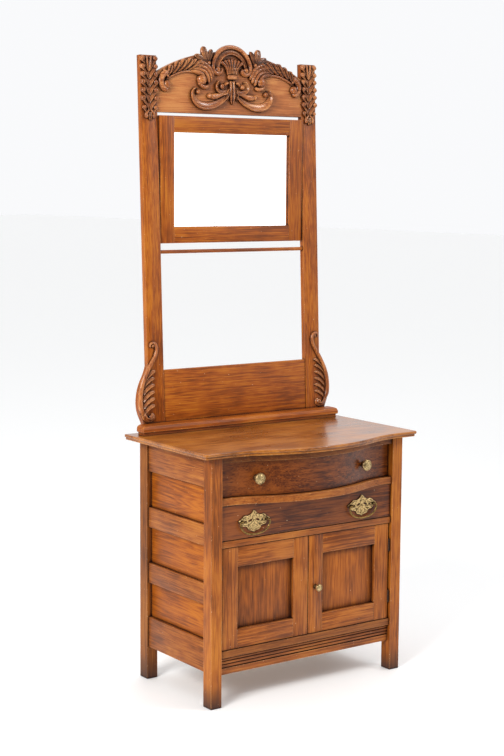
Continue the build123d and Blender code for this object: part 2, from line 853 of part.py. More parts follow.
def make_crest_carving():
    """Arch, palmette, pendant, scrolls, finials and garlands, carved as one piece for the crest."""
    centre = crest_crown - arch_drop
    below = Pos(0, centre - arch_outer) * Rectangle(2 * arch_outer, 2 * arch_outer)
    faces = [Pos(0, centre) * (Circle(arch_outer) - Circle(arch_inner)) - below]
    foot_z = crest_crown + palmette_bottom
    top_z = crest_crown + palmette_top
    for number in range(-palmette_side_flutes, palmette_side_flutes + 1):
        spread = number / palmette_side_flutes
        foot = (spread * palmette_bottom_spread, foot_z, flute_width * narrow_end)
        tip = (spread * palmette_top_spread, top_z - palmette_corner_drop * abs(spread), flute_width)
        faces.append(strand([foot, tip]))
    faces.append(Pos(0, foot_z - collar_height / 2) * Rectangle(collar_width, collar_height))
    half = [Pos(arch_volute_out, centre) * Circle(arch_volute)]
    strands = [
        lower_strand,
        lower_leaf_strand,
        collar_strand,
        garland_strand,
        hook_strand,
        volute_strand,
        tall_finial_strand,
        inner_finial_strand,
        outer_finial_strand,
    ]
    for stations in strands:
        half.append(strand([(x, crest_crown + rise, width) for x, rise, width in stations]))
    faces.append(strand([(x, crest_crown + rise, width) for x, rise, width in pendant_strand]))
    faces += half + [mirrored(face) for face in half]
    return fused(faces, carving_depth)


def make_drop():
    """The drop of paired leaves on the head of the left post."""
    x = -post_x + post_width / 2
    top = post_length - drop_top_gap
    step = drop_length / (drop_leaf_pairs + 1)
    faces = [strand([(x, top, drop_stem), (x, top - drop_length, drop_stem * narrow_end)])]
    for pair in range(drop_leaf_pairs):
        tip_z = top - step * (pair + narrow_end)
        reach = (post_width / 2 - drop_side_gap) * (1 - drop_taper * pair)
        for side in (-1, 1):
            root = (x, tip_z - step, drop_leaf * narrow_end)
            middle = (x + side * reach * narrow_end, tip_z - step * (1 - narrow_end / 2), drop_leaf)
            tip = (x + side * reach, tip_z, drop_leaf * narrow_end)
            faces.append(strand([root, middle, tip]))
    outer = block((-post_x + drop_side_gap, -post_inner_x - drop_side_gap), (-leaf_depth, 0), (0, top))
    return fused(faces, leaf_depth) & outer


def make_leaf_scroll():
    """The leaf scroll over the left wing: a curl above, a bulging stem with ridges, and a curl below."""
    faces = [strand([(-post_x - out, up, width) for out, up, width in scroll_strand])]
    for number in range(scroll_ridges):
        foot = scroll_ridge_first - scroll_ridge_pitch * number
        out = (scroll_ridge_root + scroll_ridge_tip) / 2
        root = (-post_x - scroll_ridge_root, foot, scroll_ridge_width)
        middle = (-post_x - out, foot + scroll_ridge_rise * narrow_end, scroll_ridge_width)
        tip = (-post_x - scroll_ridge_tip, foot + scroll_ridge_rise, scroll_ridge_width * narrow_end)
        faces.append(strand([root, middle, tip]))
    scroll = fused(faces, leaf_depth)
    foot = base_height + scroll_foot_gap
    return scroll - block((-case_width, 0), (-base_depth, 0), (0, foot))


def make_mirror():
    """The swivel frame with its glass, upright on the pivots at rest, and the right-hand bush and pin."""
    x = mirror_width / 2
    z = (-mirror_height / 2 - mirror_pivot_above_middle, mirror_height / 2 - mirror_pivot_above_middle)
    y = (-mirror_thickness / 2, mirror_thickness / 2)
    inner_x = x - mirror_member
    inner_z = (z[0] + mirror_member, z[1] - mirror_member)
    r = mirror_rebate
    lip = y[0] + mirror_lip
    rebate = block((-inner_x - r, inner_x + r), (lip, y[1] + past), (inner_z[0] - r, inner_z[1] + r))
    tongue_x = (-inner_x - mirror_tongue_length, inner_x + mirror_tongue_length)
    tongue_y = (-mirror_tongue / 2, mirror_tongue / 2)
    shoulder = r + mirror_tongue_shoulder
    rails = []
    for span in ((inner_z[1], z[1]), (z[0], inner_z[0])):
        rail = block((-inner_x, inner_x), y, span)
        rail += block(tongue_x, tongue_y, (span[0] + shoulder, span[1] - shoulder))
        rails.append(rail - rebate)
    bush = round_bar(x - bush_length, x, bush_diameter) + round_bar(x, x + bush_flange, bush_flange_diameter)
    stile = block((inner_x, x), y, z) - rebate - bush
    for rail in rails:
        stile -= rail
    bore = round_bar(x - pivot_in_bush, x + bush_flange + past, pivot_pin + 2 * pivot_running_gap)
    collar = round_bar(x + bush_flange + pivot_collar_gap, post_inner_x, pivot_collar_diameter)
    pin = round_bar(x - pivot_in_bush + pivot_end_gap, post_inner_x + pivot_in_post, pivot_pin) + collar
    size_x = inner_x + r - glass_gap
    size_z = (inner_z[0] - r + glass_gap, inner_z[1] + r - glass_gap)
    glass = block((-size_x, size_x), (lip, lip + glass_thickness), size_z)
    bead_y = (lip + glass_thickness, lip + glass_thickness + glass_bead)
    b = glass_bead_width
    upright = block((size_x - b, size_x), bead_y, (size_z[0] + b, size_z[1] - b))
    beads = [
        block((-size_x, size_x), bead_y, (size_z[1] - b, size_z[1])),
        block((-size_x, size_x), bead_y, (size_z[0], size_z[0] + b)),
        upright,
        mirrored(upright),
    ]
    board = block((-size_x, size_x), (bead_y[1], bead_y[1] + backboard_thickness), size_z)
    return stile, rails, glass, beads, board, bush - bore, pin


def pivot_place():
    """Where the mirror's pivot is: in the middle of the posts' thickness, part of the way up."""
    y = harp_front_at_foot + mirror_pivot_up * math.sin(lean) + post_thickness / 2 * math.cos(lean)
    z = top_surface + mirror_pivot_up * math.cos(lean) - post_thickness / 2 * math.sin(lean)
    return Vector(0, y, z)


def build():
    """Every node by name: a solid, or a list of separate solids."""
    nodes = {}
    left_rails, left_panels = make_side()
    front_rails = make_front_rails()
    backs = make_back()
    nodes |= make_legs(left_rails, left_panels, front_rails, backs)
    nodes["left_side_rails"] = left_rails
    nodes["right_side_rails"] = [mirrored(rail) for rail in left_rails]
    nodes["left_side_panels"] = left_panels
    nodes["right_side_panels"] = [mirrored(panel) for panel in left_panels]
    nodes |= front_rails
    nodes["back_boards"] = backs
    floor, runners, panels, stop = make_inner_case()
    nodes["cupboard_floor"] = floor
    nodes["drawer_runners"] = runners
    nodes["dust_panels"] = panels
    nodes["door_stop"] = stop
    nodes |= make_top()

    front, walls, bottom, knobs = make_upper_drawer()
    nodes["upper_drawer_front"] = front
    nodes["upper_drawer_walls"] = walls
    nodes["upper_drawer_bottom"] = bottom
    nodes["upper_drawer_knobs"] = knobs
    z = (door_rail_top, drawer_rail_bottom)
    face_y = rail_front_y + lower_drawer_set_back
    x = opening_x - drawer_side_gap
    height = (z[0] + drawer_height_gap, z[1] - drawer_height_gap)
    front = block((-x, x), (face_y, face_y + drawer_front_thickness), height)
    front, walls, bottom = make_drawer(z, face_y, front)
    plates, posts, bails = make_pulls(face_y, (z[0] + z[1]) / 2 - pull_drop)
    for post in posts:
        front -= post
    nodes["lower_drawer_front"] = front
    nodes["lower_drawer_walls"] = walls
    nodes["lower_drawer_bottom"] = bottom
    nodes["pull_plates"] = plates
    nodes["pull_posts"] = posts
    nodes["left_bail"], nodes["right_bail"] = bails

    stiles, rails, panel, door_x, door_y, door_z = make_door()
    leg_leaves, door_leaves = make_hinges(door_z)
    nodes["left_door_stiles"] = stiles
    nodes["left_door_rails"] = rails
    nodes["left_door_panel"] = panel
    nodes["left_door_hinge_leaves"] = door_leaves
    nodes["right_door_rails"] = [mirrored(rail) for rail in rails]
    nodes["right_door_panel"] = mirrored(panel)
    nodes["right_door_hinge_leaves"] = [mirrored(leaf) for leaf in door_leaves]
    nodes["leg_hinge_leaves"] = leg_leaves + [mirrored(leaf) for leaf in leg_leaves]
    seat = Pos(-door_x[1] + door_knob_from_edge, door_y[0], door_knob_height) * Rot(90, 0, 0)
    door_knob = seat * knob(door_knob_diameter, door_knob_projection, door_thickness - knob_screw_short)
    nodes["right_door_stiles"] = [mirrored(stile) - door_knob for stile in stiles]
    nodes["door_knob"] = door_knob

    left_post, crest, splash, bar, wing, screws, holes = make_harp()
    stile, rails, glass, beads, board, bush, pin = make_mirror()
    place = Pos(pivot_place())
    pin = place * pin
    post = on_harp(left_post) - mirrored(pin)
    wing = on_harp(wing)
    nodes["left_harp_post"] = post
    nodes["right_harp_post"] = mirrored(post)
    nodes["crest_board"] = on_harp(crest)
    nodes["splash_panel"] = on_harp(splash)
    nodes["towel_bar"] = on_harp(bar)
    nodes["post_wings"] = [wing, mirrored(wing)]
    nodes["harp_screws"] = [on_harp(screw) for screw in screws]
    nodes["harp_base_moulding"] = make_base(holes)
    nodes["crest_carving"] = on_harp(make_crest_carving())
    drop = on_harp(make_drop())
    nodes["post_leaf_drops"] = [drop, mirrored(drop)]
    scroll = on_harp(make_leaf_scroll())
    nodes["leaf_scrolls"] = [scroll, mirrored(scroll)]

    nodes["mirror_stiles"] = [place * mirrored(stile), place * stile]
    nodes["mirror_rails"] = [place * piece for piece in rails]
    nodes["mirror_glass"] = place * glass
    nodes["mirror_glass_beads"] = [place * piece for piece in beads]
    nodes["mirror_backboard"] = place * board
    nodes["mirror_pivot_bushes"] = [place * mirrored(bush), place * bush]
    nodes["mirror_pivot_pins"] = [mirrored(pin), pin]
    return nodes


def main():
    """Write one STEP file for each node, with the origin on the floor under the middle."""
    os.makedirs("parts", exist_ok=True)
    shift = Pos(0, -middle_y, 0)
    for name, shape in build().items():
        pieces = shape if isinstance(shape, list) else [shape]
        solids = [solid for piece in pieces for solid in (shift * piece).solids()]
        print(name, len(pieces), len(solids))
        export_step(Compound(children=solids) if len(solids) > 1 else solids[0], f"parts/{name}.step")


if __name__ == "__main__":
    main()
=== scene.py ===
import json
from math import cos, hypot, radians, sin, sqrt, tau

import bmesh
import bpy
from bpy.props import FloatProperty, FloatVectorProperty, IntProperty, PointerProperty
from mathutils import Matrix, Vector


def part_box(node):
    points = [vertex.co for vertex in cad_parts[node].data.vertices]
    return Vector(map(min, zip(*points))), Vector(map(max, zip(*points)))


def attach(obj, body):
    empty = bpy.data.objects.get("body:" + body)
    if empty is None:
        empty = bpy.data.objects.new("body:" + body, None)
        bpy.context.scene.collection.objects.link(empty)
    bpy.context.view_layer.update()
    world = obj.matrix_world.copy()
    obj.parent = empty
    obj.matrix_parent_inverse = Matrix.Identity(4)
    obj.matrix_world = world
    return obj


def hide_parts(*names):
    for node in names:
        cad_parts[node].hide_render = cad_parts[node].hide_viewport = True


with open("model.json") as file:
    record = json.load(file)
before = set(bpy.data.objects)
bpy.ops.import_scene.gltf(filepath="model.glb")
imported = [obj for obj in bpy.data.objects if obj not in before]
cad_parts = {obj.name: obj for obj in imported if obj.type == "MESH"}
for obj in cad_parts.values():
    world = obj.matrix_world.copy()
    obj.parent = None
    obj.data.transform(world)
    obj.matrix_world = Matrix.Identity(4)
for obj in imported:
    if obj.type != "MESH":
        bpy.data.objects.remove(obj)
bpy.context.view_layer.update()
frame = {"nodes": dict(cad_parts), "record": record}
NODES = frame["nodes"]

bl_info = {
    "name": "Washstand with swivel mirror",
    "version": (1, 0, 0),
    "blender": (4, 5, 0),
    "location": "3D View > Sidebar > Washstand",
    "description": "Dresses a serpentine washstand and its carved harp in wood, brass and silvered glass",
    "category": "Object",
}

MM = 0.001
# Points nearer than this, in metres, are one point
WELD = 1e-6
# The harp leans back from the foot of its posts, and everything carved on it is drawn upright first
HARP_FOOT = Vector((0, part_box("left_harp_post")[0].y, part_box("left_harp_post")[0].z))
HARP_LEAN = radians(2.6)
HARP = Matrix.Translation(HARP_FOOT) @ Matrix.Rotation(-HARP_LEAN, 4, "X")
# On the upright harp in millimetres: the level the crest's carving is measured from, the middle of its arch
# from there, and a post's outer edge and middle line
CROWN = 1145.0
ARCH_MIDDLE = -57
POST_EDGE = 324.5
POST_MIDDLE = 296.5
# Where the joints between the top's three boards run, and the pulls' and knobs' places, in metres
TOP_JOINTS = [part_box("front_top_board")[1].y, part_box("rear_top_board")[0].y]
PULL_X = 0.200
KNOB_X = 0.197
# How far a drawer knob stands out in millimetres, and how much wider than the CAD's it is turned
KNOB_REACH = 27.0
KNOB_SWELL = 1.06
DRAWER_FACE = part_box("upper_drawer_knobs")[0].y / MM + KNOB_REACH
DOOR_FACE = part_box("right_door_stiles")[0].y / MM
# The camera's place in metres, its yaw, pitch down and roll in degrees, and its frame's width in millimetres
CAMERA_PLACE = (-2.77988, -3.74881, 1.4969)
CAMERA_TURN = (35.66, 7.13, 0.41)
SENSOR = 36.0


# Small helpers


def linear(code):
    """An sRGB hex colour as linear red, green, blue and alpha."""
    parts = [int(code[at : at + 2], 16) / 255 for at in (0, 2, 4)]
    return [p / 12.92 if p <= 0.04045 else ((p + 0.055) / 1.055) ** 2.4 for p in parts] + [1.0]


def fill(tree, made, inputs):
    """Sets a node's sockets to values, or links them to other nodes' outputs."""
    for name, value in inputs.items():
        socket = made.inputs[name]
        if isinstance(value, bpy.types.NodeSocket):
            tree.links.new(value, socket)
        else:
            socket.default_value = value


def add(tree, kind, inputs=None, **settings):
    """One node with its settings and its filled sockets."""
    made = tree.nodes.new(kind)
    for name, value in settings.items():
        setattr(made, name, value)
    fill(tree, made, inputs or {})
    return made


def ramp(tree, factor, stops):
    """A colour ramp through (place, colour) stops."""
    made = add(tree, "ShaderNodeValToRGB", {"Fac": factor})
    elements = made.color_ramp.elements
    while len(elements) < len(stops):
        elements.new(0.5)
    for element, (place, colour) in zip(elements, stops):
        element.position = place
        element.color = colour
    return made.outputs["Color"]


def between(tree, value, low, high, to_low=0.0, to_high=1.0):
    """A value spread from one range onto another."""
    inputs = {"Value": value, "From Min": low, "From Max": high, "To Min": to_low, "To Max": to_high}
    return add(tree, "ShaderNodeMapRange", inputs).outputs["Result"]


def sums(tree, how, first, second):
    """One step of arithmetic on two values."""
    return add(tree, "ShaderNodeMath", {0: first, 1: second}, operation=how).outputs[0]


def times(tree, first, second):
    """Two values multiplied."""
    return sums(tree, "MULTIPLY", first, second)


def object_place(tree):
    """A point in the object's own coordinates."""
    return add(tree, "ShaderNodeTexCoord").outputs["Object"]


def clouds(tree, place, scale, detail):
    """Plain noise."""
    return add(tree, "ShaderNodeTexNoise", {"Vector": place, "Scale": scale, "Detail": detail}).outputs["Fac"]


def mixed(tree, how, amount, first, second):
    """Two colours mixed by a factor."""
    inputs = {0: amount, 6: first, 7: second}
    return add(tree, "ShaderNodeMix", inputs, data_type="RGBA", blend_type=how).outputs[2]


def bumped(tree, height, strength, distance):
    """A normal tilted by a height pattern, its distance in millimetres."""
    inputs = {"Height": height, "Strength": strength, "Distance": distance * MM}
    return add(tree, "ShaderNodeBump", inputs).outputs["Normal"]


def new_material(name):
    """An empty material and its node tree with a Principled shader wired to the output."""
    material = bpy.data.materials.new(name)
    material.use_nodes = True
    tree = material.node_tree
    tree.nodes.clear()
    shader = add(tree, "ShaderNodeBsdfPrincipled")
    add(tree, "ShaderNodeOutputMaterial", {"Surface": shader.outputs["BSDF"]})
    return material, tree, shader


def grain_scale(along, length, width):
    """Scales for a pattern that is length long with the grain and width across it, in millimetres."""
    scales = {axis: 1 / (width * MM) for axis in "xyz"}
    scales[along] = 1 / (length * MM)
    return (scales["x"], scales["y"], scales["z"])


def openness(tree, depth):
    """How open a point is within a depth in millimetres, from 0 to 1."""
    return add(tree, "ShaderNodeAmbientOcclusion", {"Distance": depth * MM}, samples=6).outputs["AO"]


def crevices(tree, open_sky, shut=0.30):
    """How deep in a crevice a point lies, from 0 to 1."""
    return between(tree, open_sky, 0.90, shut)


def worn_and_highlit_edge(tree, open_sky, reach):
    """How much a point lies on an outer edge of a reach in millimetres, from 0 to 1: where wear and a painted highlight
    go.
    """
    rounded = add(tree, "ShaderNodeBevel", {"Radius": reach * MM}, samples=4).outputs["Normal"]
    flat = add(tree, "ShaderNodeNewGeometry").outputs["Normal"]
    same = add(tree, "ShaderNodeVectorMath", {0: rounded, 1: flat}, operation="DOT_PRODUCT").outputs["Value"]
    bent = between(tree, same, 0.995, 0.80)
    return times(tree, bent, between(tree, open_sky, 0.75, 0.95))


def stained_wood(
    name, along, stain, rough=0.42, figure=0.4, streak=5.0, wear_and_highlight=0.6, grime_and_shade=1.0, reach=8.0, shut=0.45, coat=0.0,
    seed=0.0, contrast=1.2, feet=False, cracks=False,
):
    """Stained close-grained timber under old shellac: long fine streaks with the grain, a faint cathedral figure,
    blotches where the stain took unevenly, pale edges that are partly rubbed wear and partly a painted highlight, with
    small chips, and dark wax with painted shade in the corners.
    The stain's three colours run from pale to dark."""
    material, tree, shader = new_material(name)
    pale, mid, dark = (linear(code) for code in stain.split())
    spot = object_place(tree)
    place = add(tree, "ShaderNodeVectorMath", {0: spot, 1: (seed, seed * 1.7, seed * 0.6)}, operation="ADD").outputs[0]

    def noise(length, width, detail, distortion=0.0):
        at = add(tree, "ShaderNodeMapping", {"Vector": place, "Scale": grain_scale(along, length, width)})
        inputs = {"Vector": at.outputs[0], "Scale": 1.0, "Detail": detail, "Roughness": 0.6, "Distortion": distortion}
        return add(tree, "ShaderNodeTexNoise", inputs).outputs["Fac"]

    # Fibres of 1.5 mm, streaks of 5 mm or so, a figure of 60 mm arches and blotches of about 120 mm
    fibres = noise(70.0, 1.5, 4.0)
    streaks = noise(190.0, streak, 4.0, 0.3)
    arches = sums(tree, "SINE", times(tree, noise(520.0, 60.0, 1.0, 0.2), 70.0), 0.0)
    blotches = noise(170.0, 110.0, 3.0)
    tone = 0.5
    for part, low, high, share in (
        (fibres, 0.35, 0.65, 0.17),
        (streaks, 0.3, 0.7, 0.15),
        (arches, -1.0, 1.0, 0.06 * figure),
        (blotches, 0.3, 0.7, 0.17),
    ):
        tone = sums(tree, "ADD", tone, between(tree, part, low, high, -share * contrast, share * contrast))
    colour = ramp(tree, tone, [(0.22, dark), (0.5, mid), (0.78, pale)])
    if cracks:
        # The joints between the top's boards have opened towards the right-hand end
        where = add(tree, "ShaderNodeSeparateXYZ", {"Vector": spot})
        gap = None
        for joint in TOP_JOINTS:
            off = sums(tree, "ABSOLUTE", sums(tree, "SUBTRACT", where.outputs["Y"], joint), 0.0)
            line = between(tree, off, 2.4 * MM, 0.8 * MM)
            gap = line if gap is None else sums(tree, "MAXIMUM", gap, line)
        gap = times(tree, gap, between(tree, where.outputs["X"], 0.0, 0.22, 0.15, 0.85))
        colour = mixed(tree, "MIX", gap, colour, linear("34190B"))
    if feet:
        # The legs grow darker towards the floor over the last 60 mm, with a little noise
        height = add(tree, "ShaderNodeSeparateXYZ", {"Vector": spot}).outputs["Z"]
        darker_low = sums(
            tree, "ADD", between(tree, height, 0.075, 0.0, 0.1, 0.95), between(tree, fibres, 0.3, 0.7, -0.25, 0.25),
        )
        darker_low = times(tree, darker_low, between(tree, height, 0.09, 0.05))
        colour = mixed(tree, "MIX", darker_low, colour, linear("33190C"))
    open_sky = openness(tree, reach)
    crevice = crevices(tree, open_sky, shut)
    edge = worn_and_highlit_edge(tree, open_sky, 4.0)
    chips = times(tree, edge, between(tree, noise(7.0, 5.0, 2.0), 0.62, 0.66))
    specks = between(tree, noise(8.0, 5.0, 1.0), 0.775, 0.80, 0.0, 0.6)
    # Pale edges: wear and a painted highlight along the arrises
    rubbed_and_highlit = times(tree, edge, between(tree, blotches, 0.35, 0.65, 0.25, 1.0))
    colour = mixed(tree, "MIX", times(tree, rubbed_and_highlit, wear_and_highlight), colour, linear("CC9459"))
    chips = sums(tree, "MAXIMUM", times(tree, chips, wear_and_highlight * 1.3), specks)
    colour = mixed(tree, "MIX", chips, colour, linear("E6BE92"))
    # Dark wax and painted shade: the colour is darkened deep in corners, cuts and under overhangs
    colour = mixed(tree, "MULTIPLY", times(tree, crevice, grime_and_shade), colour, linear("40200F"))
    sheen = between(tree, blotches, 0.3, 0.7, rough - 0.05, rough + 0.07)
    roughness = sums(tree, "ADD", sheen, times(tree, crevice, 0.25))
    relief = sums(tree, "ADD", times(tree, streaks, 0.4), times(tree, fibres, 0.4))
    fill(tree, shader, {"Base Color": colour, "Roughness": roughness, "Normal": bumped(tree, relief, 0.2, 0.4)})
    fill(tree, shader, {"IOR": 1.5, "Specular IOR Level": 0.3, "Coat Weight": coat, "Coat Roughness": 0.16})
    return material


def raw_board(name, along, pale, dark):
    """Unfinished secondary timber, dry and dusty: pale boards with plain brown streaks and no shine, darkened in the
    corners by dust and painted shade.
    """
    material, tree, shader = new_material(name)
    place = object_place(tree)
    at = add(tree, "ShaderNodeMapping", {"Vector": place, "Scale": grain_scale(along, 240.0, 12.0)})
    streaks = clouds(tree, at.outputs[0], 1.0, 5.0)
    colour = ramp(tree, streaks, [(0.32, linear(dark)), (0.66, linear(pale))])
    # Dust and painted shade: the corners darkened by how shut in they are
    dust_and_shade = times(tree, crevices(tree, openness(tree, 25.0)), 0.7)
    colour = mixed(tree, "MULTIPLY", dust_and_shade, colour, linear("4A3626"))
    fill(tree, shader, {"Base Color": colour, "Roughness": 0.75, "Normal": bumped(tree, streaks, 0.3, 0.4)})
    return material


def aged_brass(name, bright, tarnish, rough):
    """Stamped brass gone dull: pale where hands polish it, brown tarnish in the hollows and spots."""
    material, tree, shader = new_material(name)
    place = object_place(tree)
    spots = clouds(tree, place, 260.0, 5.0)
    crevice = crevices(tree, openness(tree, 7.0), 0.62)
    dull = sums(tree, "MAXIMUM", between(tree, spots, 0.50, 0.66), crevice)
    colour = mixed(tree, "MIX", dull, linear(bright), linear(tarnish))
    roughness = between(tree, dull, 0.0, 1.0, rough, rough + 0.25)
    fill(tree, shader, {"Base Color": colour, "Metallic": 0.85, "Roughness": roughness})
    fill(tree, shader, {"Normal": bumped(tree, spots, 0.2, 0.15)})
    return material


def dark_iron(name):
    """Wrought steel darkened by age: near black, with a brown bloom of old rust."""
    material, tree, shader = new_material(name)
    place = object_place(tree)
    bloom = clouds(tree, place, 380.0, 4.0)
    colour = ramp(tree, bloom, [(0.40, linear("2B2724")), (0.65, linear("5A3A26"))])
    roughness = between(tree, bloom, 0.3, 0.7, 0.38, 0.7)
    fill(tree, shader, {"Base Color": colour, "Metallic": 0.7, "Roughness": roughness})
    return material


def silvered_glass(name):
    """Old silvered plate glass: a clear reflection with small dark spots where the silver has lifted."""
    material, tree, shader = new_material(name)
    place = object_place(tree)
    cells = add(tree, "ShaderNodeTexVoronoi", {"Vector": place, "Scale": 150.0}, feature="F1").outputs["Distance"]
    dots = between(tree, cells, 0.30, 0.16)
    patches = clouds(tree, place, 9.0, 3.0)
    spots = times(tree, dots, between(tree, patches, 0.60, 0.68))
    at = add(tree, "ShaderNodeMapping", {"Vector": place, "Scale": (14.0, 10.0, 900.0)})
    scratch = clouds(tree, at.outputs[0], 1.0, 1.0)
    scratches = times(tree, between(tree, scratch, 0.70, 0.76), 0.35)
    lost = sums(tree, "MAXIMUM", spots, scratches)
    colour = mixed(tree, "MIX", lost, linear("F6F7F8"), linear("4C4B47"))
    roughness = between(tree, lost, 0.0, 1.0, 0.02, 0.5)
    fill(tree, shader, {"Base Color": colour, "Metallic": 1.0, "Roughness": roughness})
    return material


def linked(name, data):
    """A new object in the scene."""
    made = bpy.data.objects.new(name, data)
    bpy.context.scene.collection.objects.link(made)
    return made


def mesh_object(name, mesh, material, body, slot_name, *replaced):
    """A finished piece at the origin, riding on its body and standing for its nodes."""
    mesh.name = name
    made = linked(name, mesh)
    made.data.materials.clear()
    made.data.materials.append(material)
    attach(made, body)
    if replaced:
        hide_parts(*replaced)
    return made


def plain_mesh(verts, faces, smooth=True):
    """A mesh from points in millimetres and faces, with its normals turned outwards."""
    mesh = bpy.data.meshes.new("form")
    mesh.from_pydata([Vector(v) * MM for v in verts], [], faces)
    work = bmesh.new()
    work.from_mesh(mesh)
    bmesh.ops.remove_doubles(work, verts=work.verts, dist=WELD)
    bmesh.ops.recalc_face_normals(work, faces=work.faces)
    work.to_mesh(mesh)
    work.free()
    if smooth:
        mesh.shade_smooth()
    return mesh


def joined(meshes):
    """Several meshes as one."""
    work = bmesh.new()
    for mesh in meshes:
        work.from_mesh(mesh)
    made = bpy.data.meshes.new("form")
    work.to_mesh(made)
    work.free()
    made.shade_smooth()
    return made


def applied(made):
    """An object's mesh after its modifiers, as a plain mesh; the object goes."""
    bpy.context.view_layer.update()
    evaluated = made.evaluated_get(bpy.context.evaluated_depsgraph_get())
    mesh = bpy.data.meshes.new_from_object(evaluated)
    bpy.data.objects.remove(made)
    return mesh


def creased(mesh, degrees):
    """Smooth shading that breaks at real corners."""
    mesh.shade_smooth()
    mesh.set_sharp_from_angle(angle=radians(degrees))
    return mesh


# Carving: every strand is a rounded ridge over a centre line of stations


def turned_over(profile):
    """A profile with its sides exchanged."""
    return [(-across, rise) for across, rise in reversed(profile)]


def even(middle, half):
    """A profile the same on both sides of a middle of this height."""
    return turned_over(half) + [(0.0, middle)] + half


ROUND = even(1.0, [(0.42, 0.95), (0.72, 0.76), (0.92, 0.42), (1.0, 0.0)])
VEINED = even(0.60, [(0.2, 0.95), (0.42, 0.62), (0.66, 0.85), (0.92, 0.5), (1.0, 0.0)])
LIPPED = [
    (-1.0, 0.0), (-0.96, 0.62), (-0.78, 1.0), (-0.55, 0.92), (-0.34, 0.52), (0.06, 0.36), (0.46, 0.30), (0.8, 0.22),
    (1.0, 0.0),
]
FOLDED = even(0.28, [(0.30, 0.80), (0.62, 1.0), (0.93, 0.55), (1.0, 0.0)])
TURNED_LIP = turned_over(LIPPED)
WIRE = [(-cos(radians(turn)), sin(radians(turn))) for turn in range(0, 361, 30)]


def along_curve(stations, count):
    """Stations of any length spread evenly along a smooth curve through them."""
    ends = [stations[0]] + list(stations) + [stations[-1]]
    fine = []
    for a, b, c, d in zip(ends, ends[1:], ends[2:], ends[3:]):
        for step in range(16):
            t = step / 16
            weights = (
                (-t + 2 * t * t - t**3) / 2,
                (2 - 5 * t * t + 3 * t**3) / 2,
                (t + 4 * t * t - 3 * t**3) / 2,
                (t**3 - t * t) / 2,
            )
            fine.append([sum(w * p[axis] for w, p in zip(weights, (a, b, c, d))) for axis in range(len(a))])
    fine.append(list(stations[-1]))
    lengths = [0.0]
    for a, b in zip(fine, fine[1:]):
        lengths.append(lengths[-1] + hypot(b[0] - a[0], b[1] - a[1]))
    spread = []
    at = 0
    for number in range(count):
        want = lengths[-1] * number / (count - 1)
        while at < len(lengths) - 2 and lengths[at + 1] < want:
            at += 1
        span = lengths[at + 1] - lengths[at] or 1.0
        share = min(max((want - lengths[at]) / span, 0.0), 1.0)
        spread.append([a + (b - a) * share for a, b in zip(fine[at], fine[at + 1])])
    return spread


def strand(stations, profile, count=40, start=0.12, end=0.12):
    """A carved ridge through stations of (x, up, width, height), closed and rounded off at both ends.
    X and up lie in the harp's plane and height stands out of it, all in millimetres."""
    rows = along_curve(stations, count)
    verts = []
    for number, (x, up, width, height) in enumerate(rows):
        ahead = rows[min(number + 1, count - 1)]
        behind = rows[max(number - 1, 0)]
        run = hypot(ahead[0] - behind[0], ahead[1] - behind[1]) or 1.0
        side = (-(ahead[1] - behind[1]) / run, (ahead[0] - behind[0]) / run)
        share = number / (count - 1)
        tip = 1.0
        if start and share < start:
            tip = min(tip, sqrt(max(0.0, 1 - (1 - share / start) ** 2)))
        if end and share > 1 - end:
            tip = min(tip, sqrt(max(0.0, 1 - ((share - 1 + end) / end) ** 2)))
        tip = max(tip, 0.04)
        for across, rise in profile:
            reach = across * width / 2 * tip
            verts.append((x + side[0] * reach, -(rise * height * tip), up + side[1] * reach))
    faces = []
    wide = len(profile)
    for row in range(count - 1):
        for column in range(wide - 1):
            a = row * wide + column
            faces.append((a, a + 1, a + wide + 1, a + wide))
        a = row * wide
        faces.append((a, a + wide, a + 2 * wide - 1, a + wide - 1))
    faces.append(tuple(range(wide)))
    faces.append(tuple((count - 1) * wide + n for n in range(wide)))
    return plain_mesh(verts, faces)


def reflected(stations):
    """Stations on the other side of the middle."""
    return [(-s[0],) + tuple(s[1:]) for s in stations]


def dome(x, up, radius, height):
    """A round boss, closed."""
    return strand([(x - radius, up, 2 * radius, height), (x + radius, up, 2 * radius, height)], ROUND, 16, 0.5, 0.5)


def leaf_template(rows, profile, ball=0.0):
    """One carved leaf along +X through (x, offset, width, height) rows, its tip curled to a ball of that share."""
    parts = [strand(rows, profile, 18, 0.05, 0.16)]
    if ball:
        x, off, width, height = rows[-2]
        parts.append(dome(x, off, ball * width, 1.12 * height))
    return linked("leaf", joined(parts))


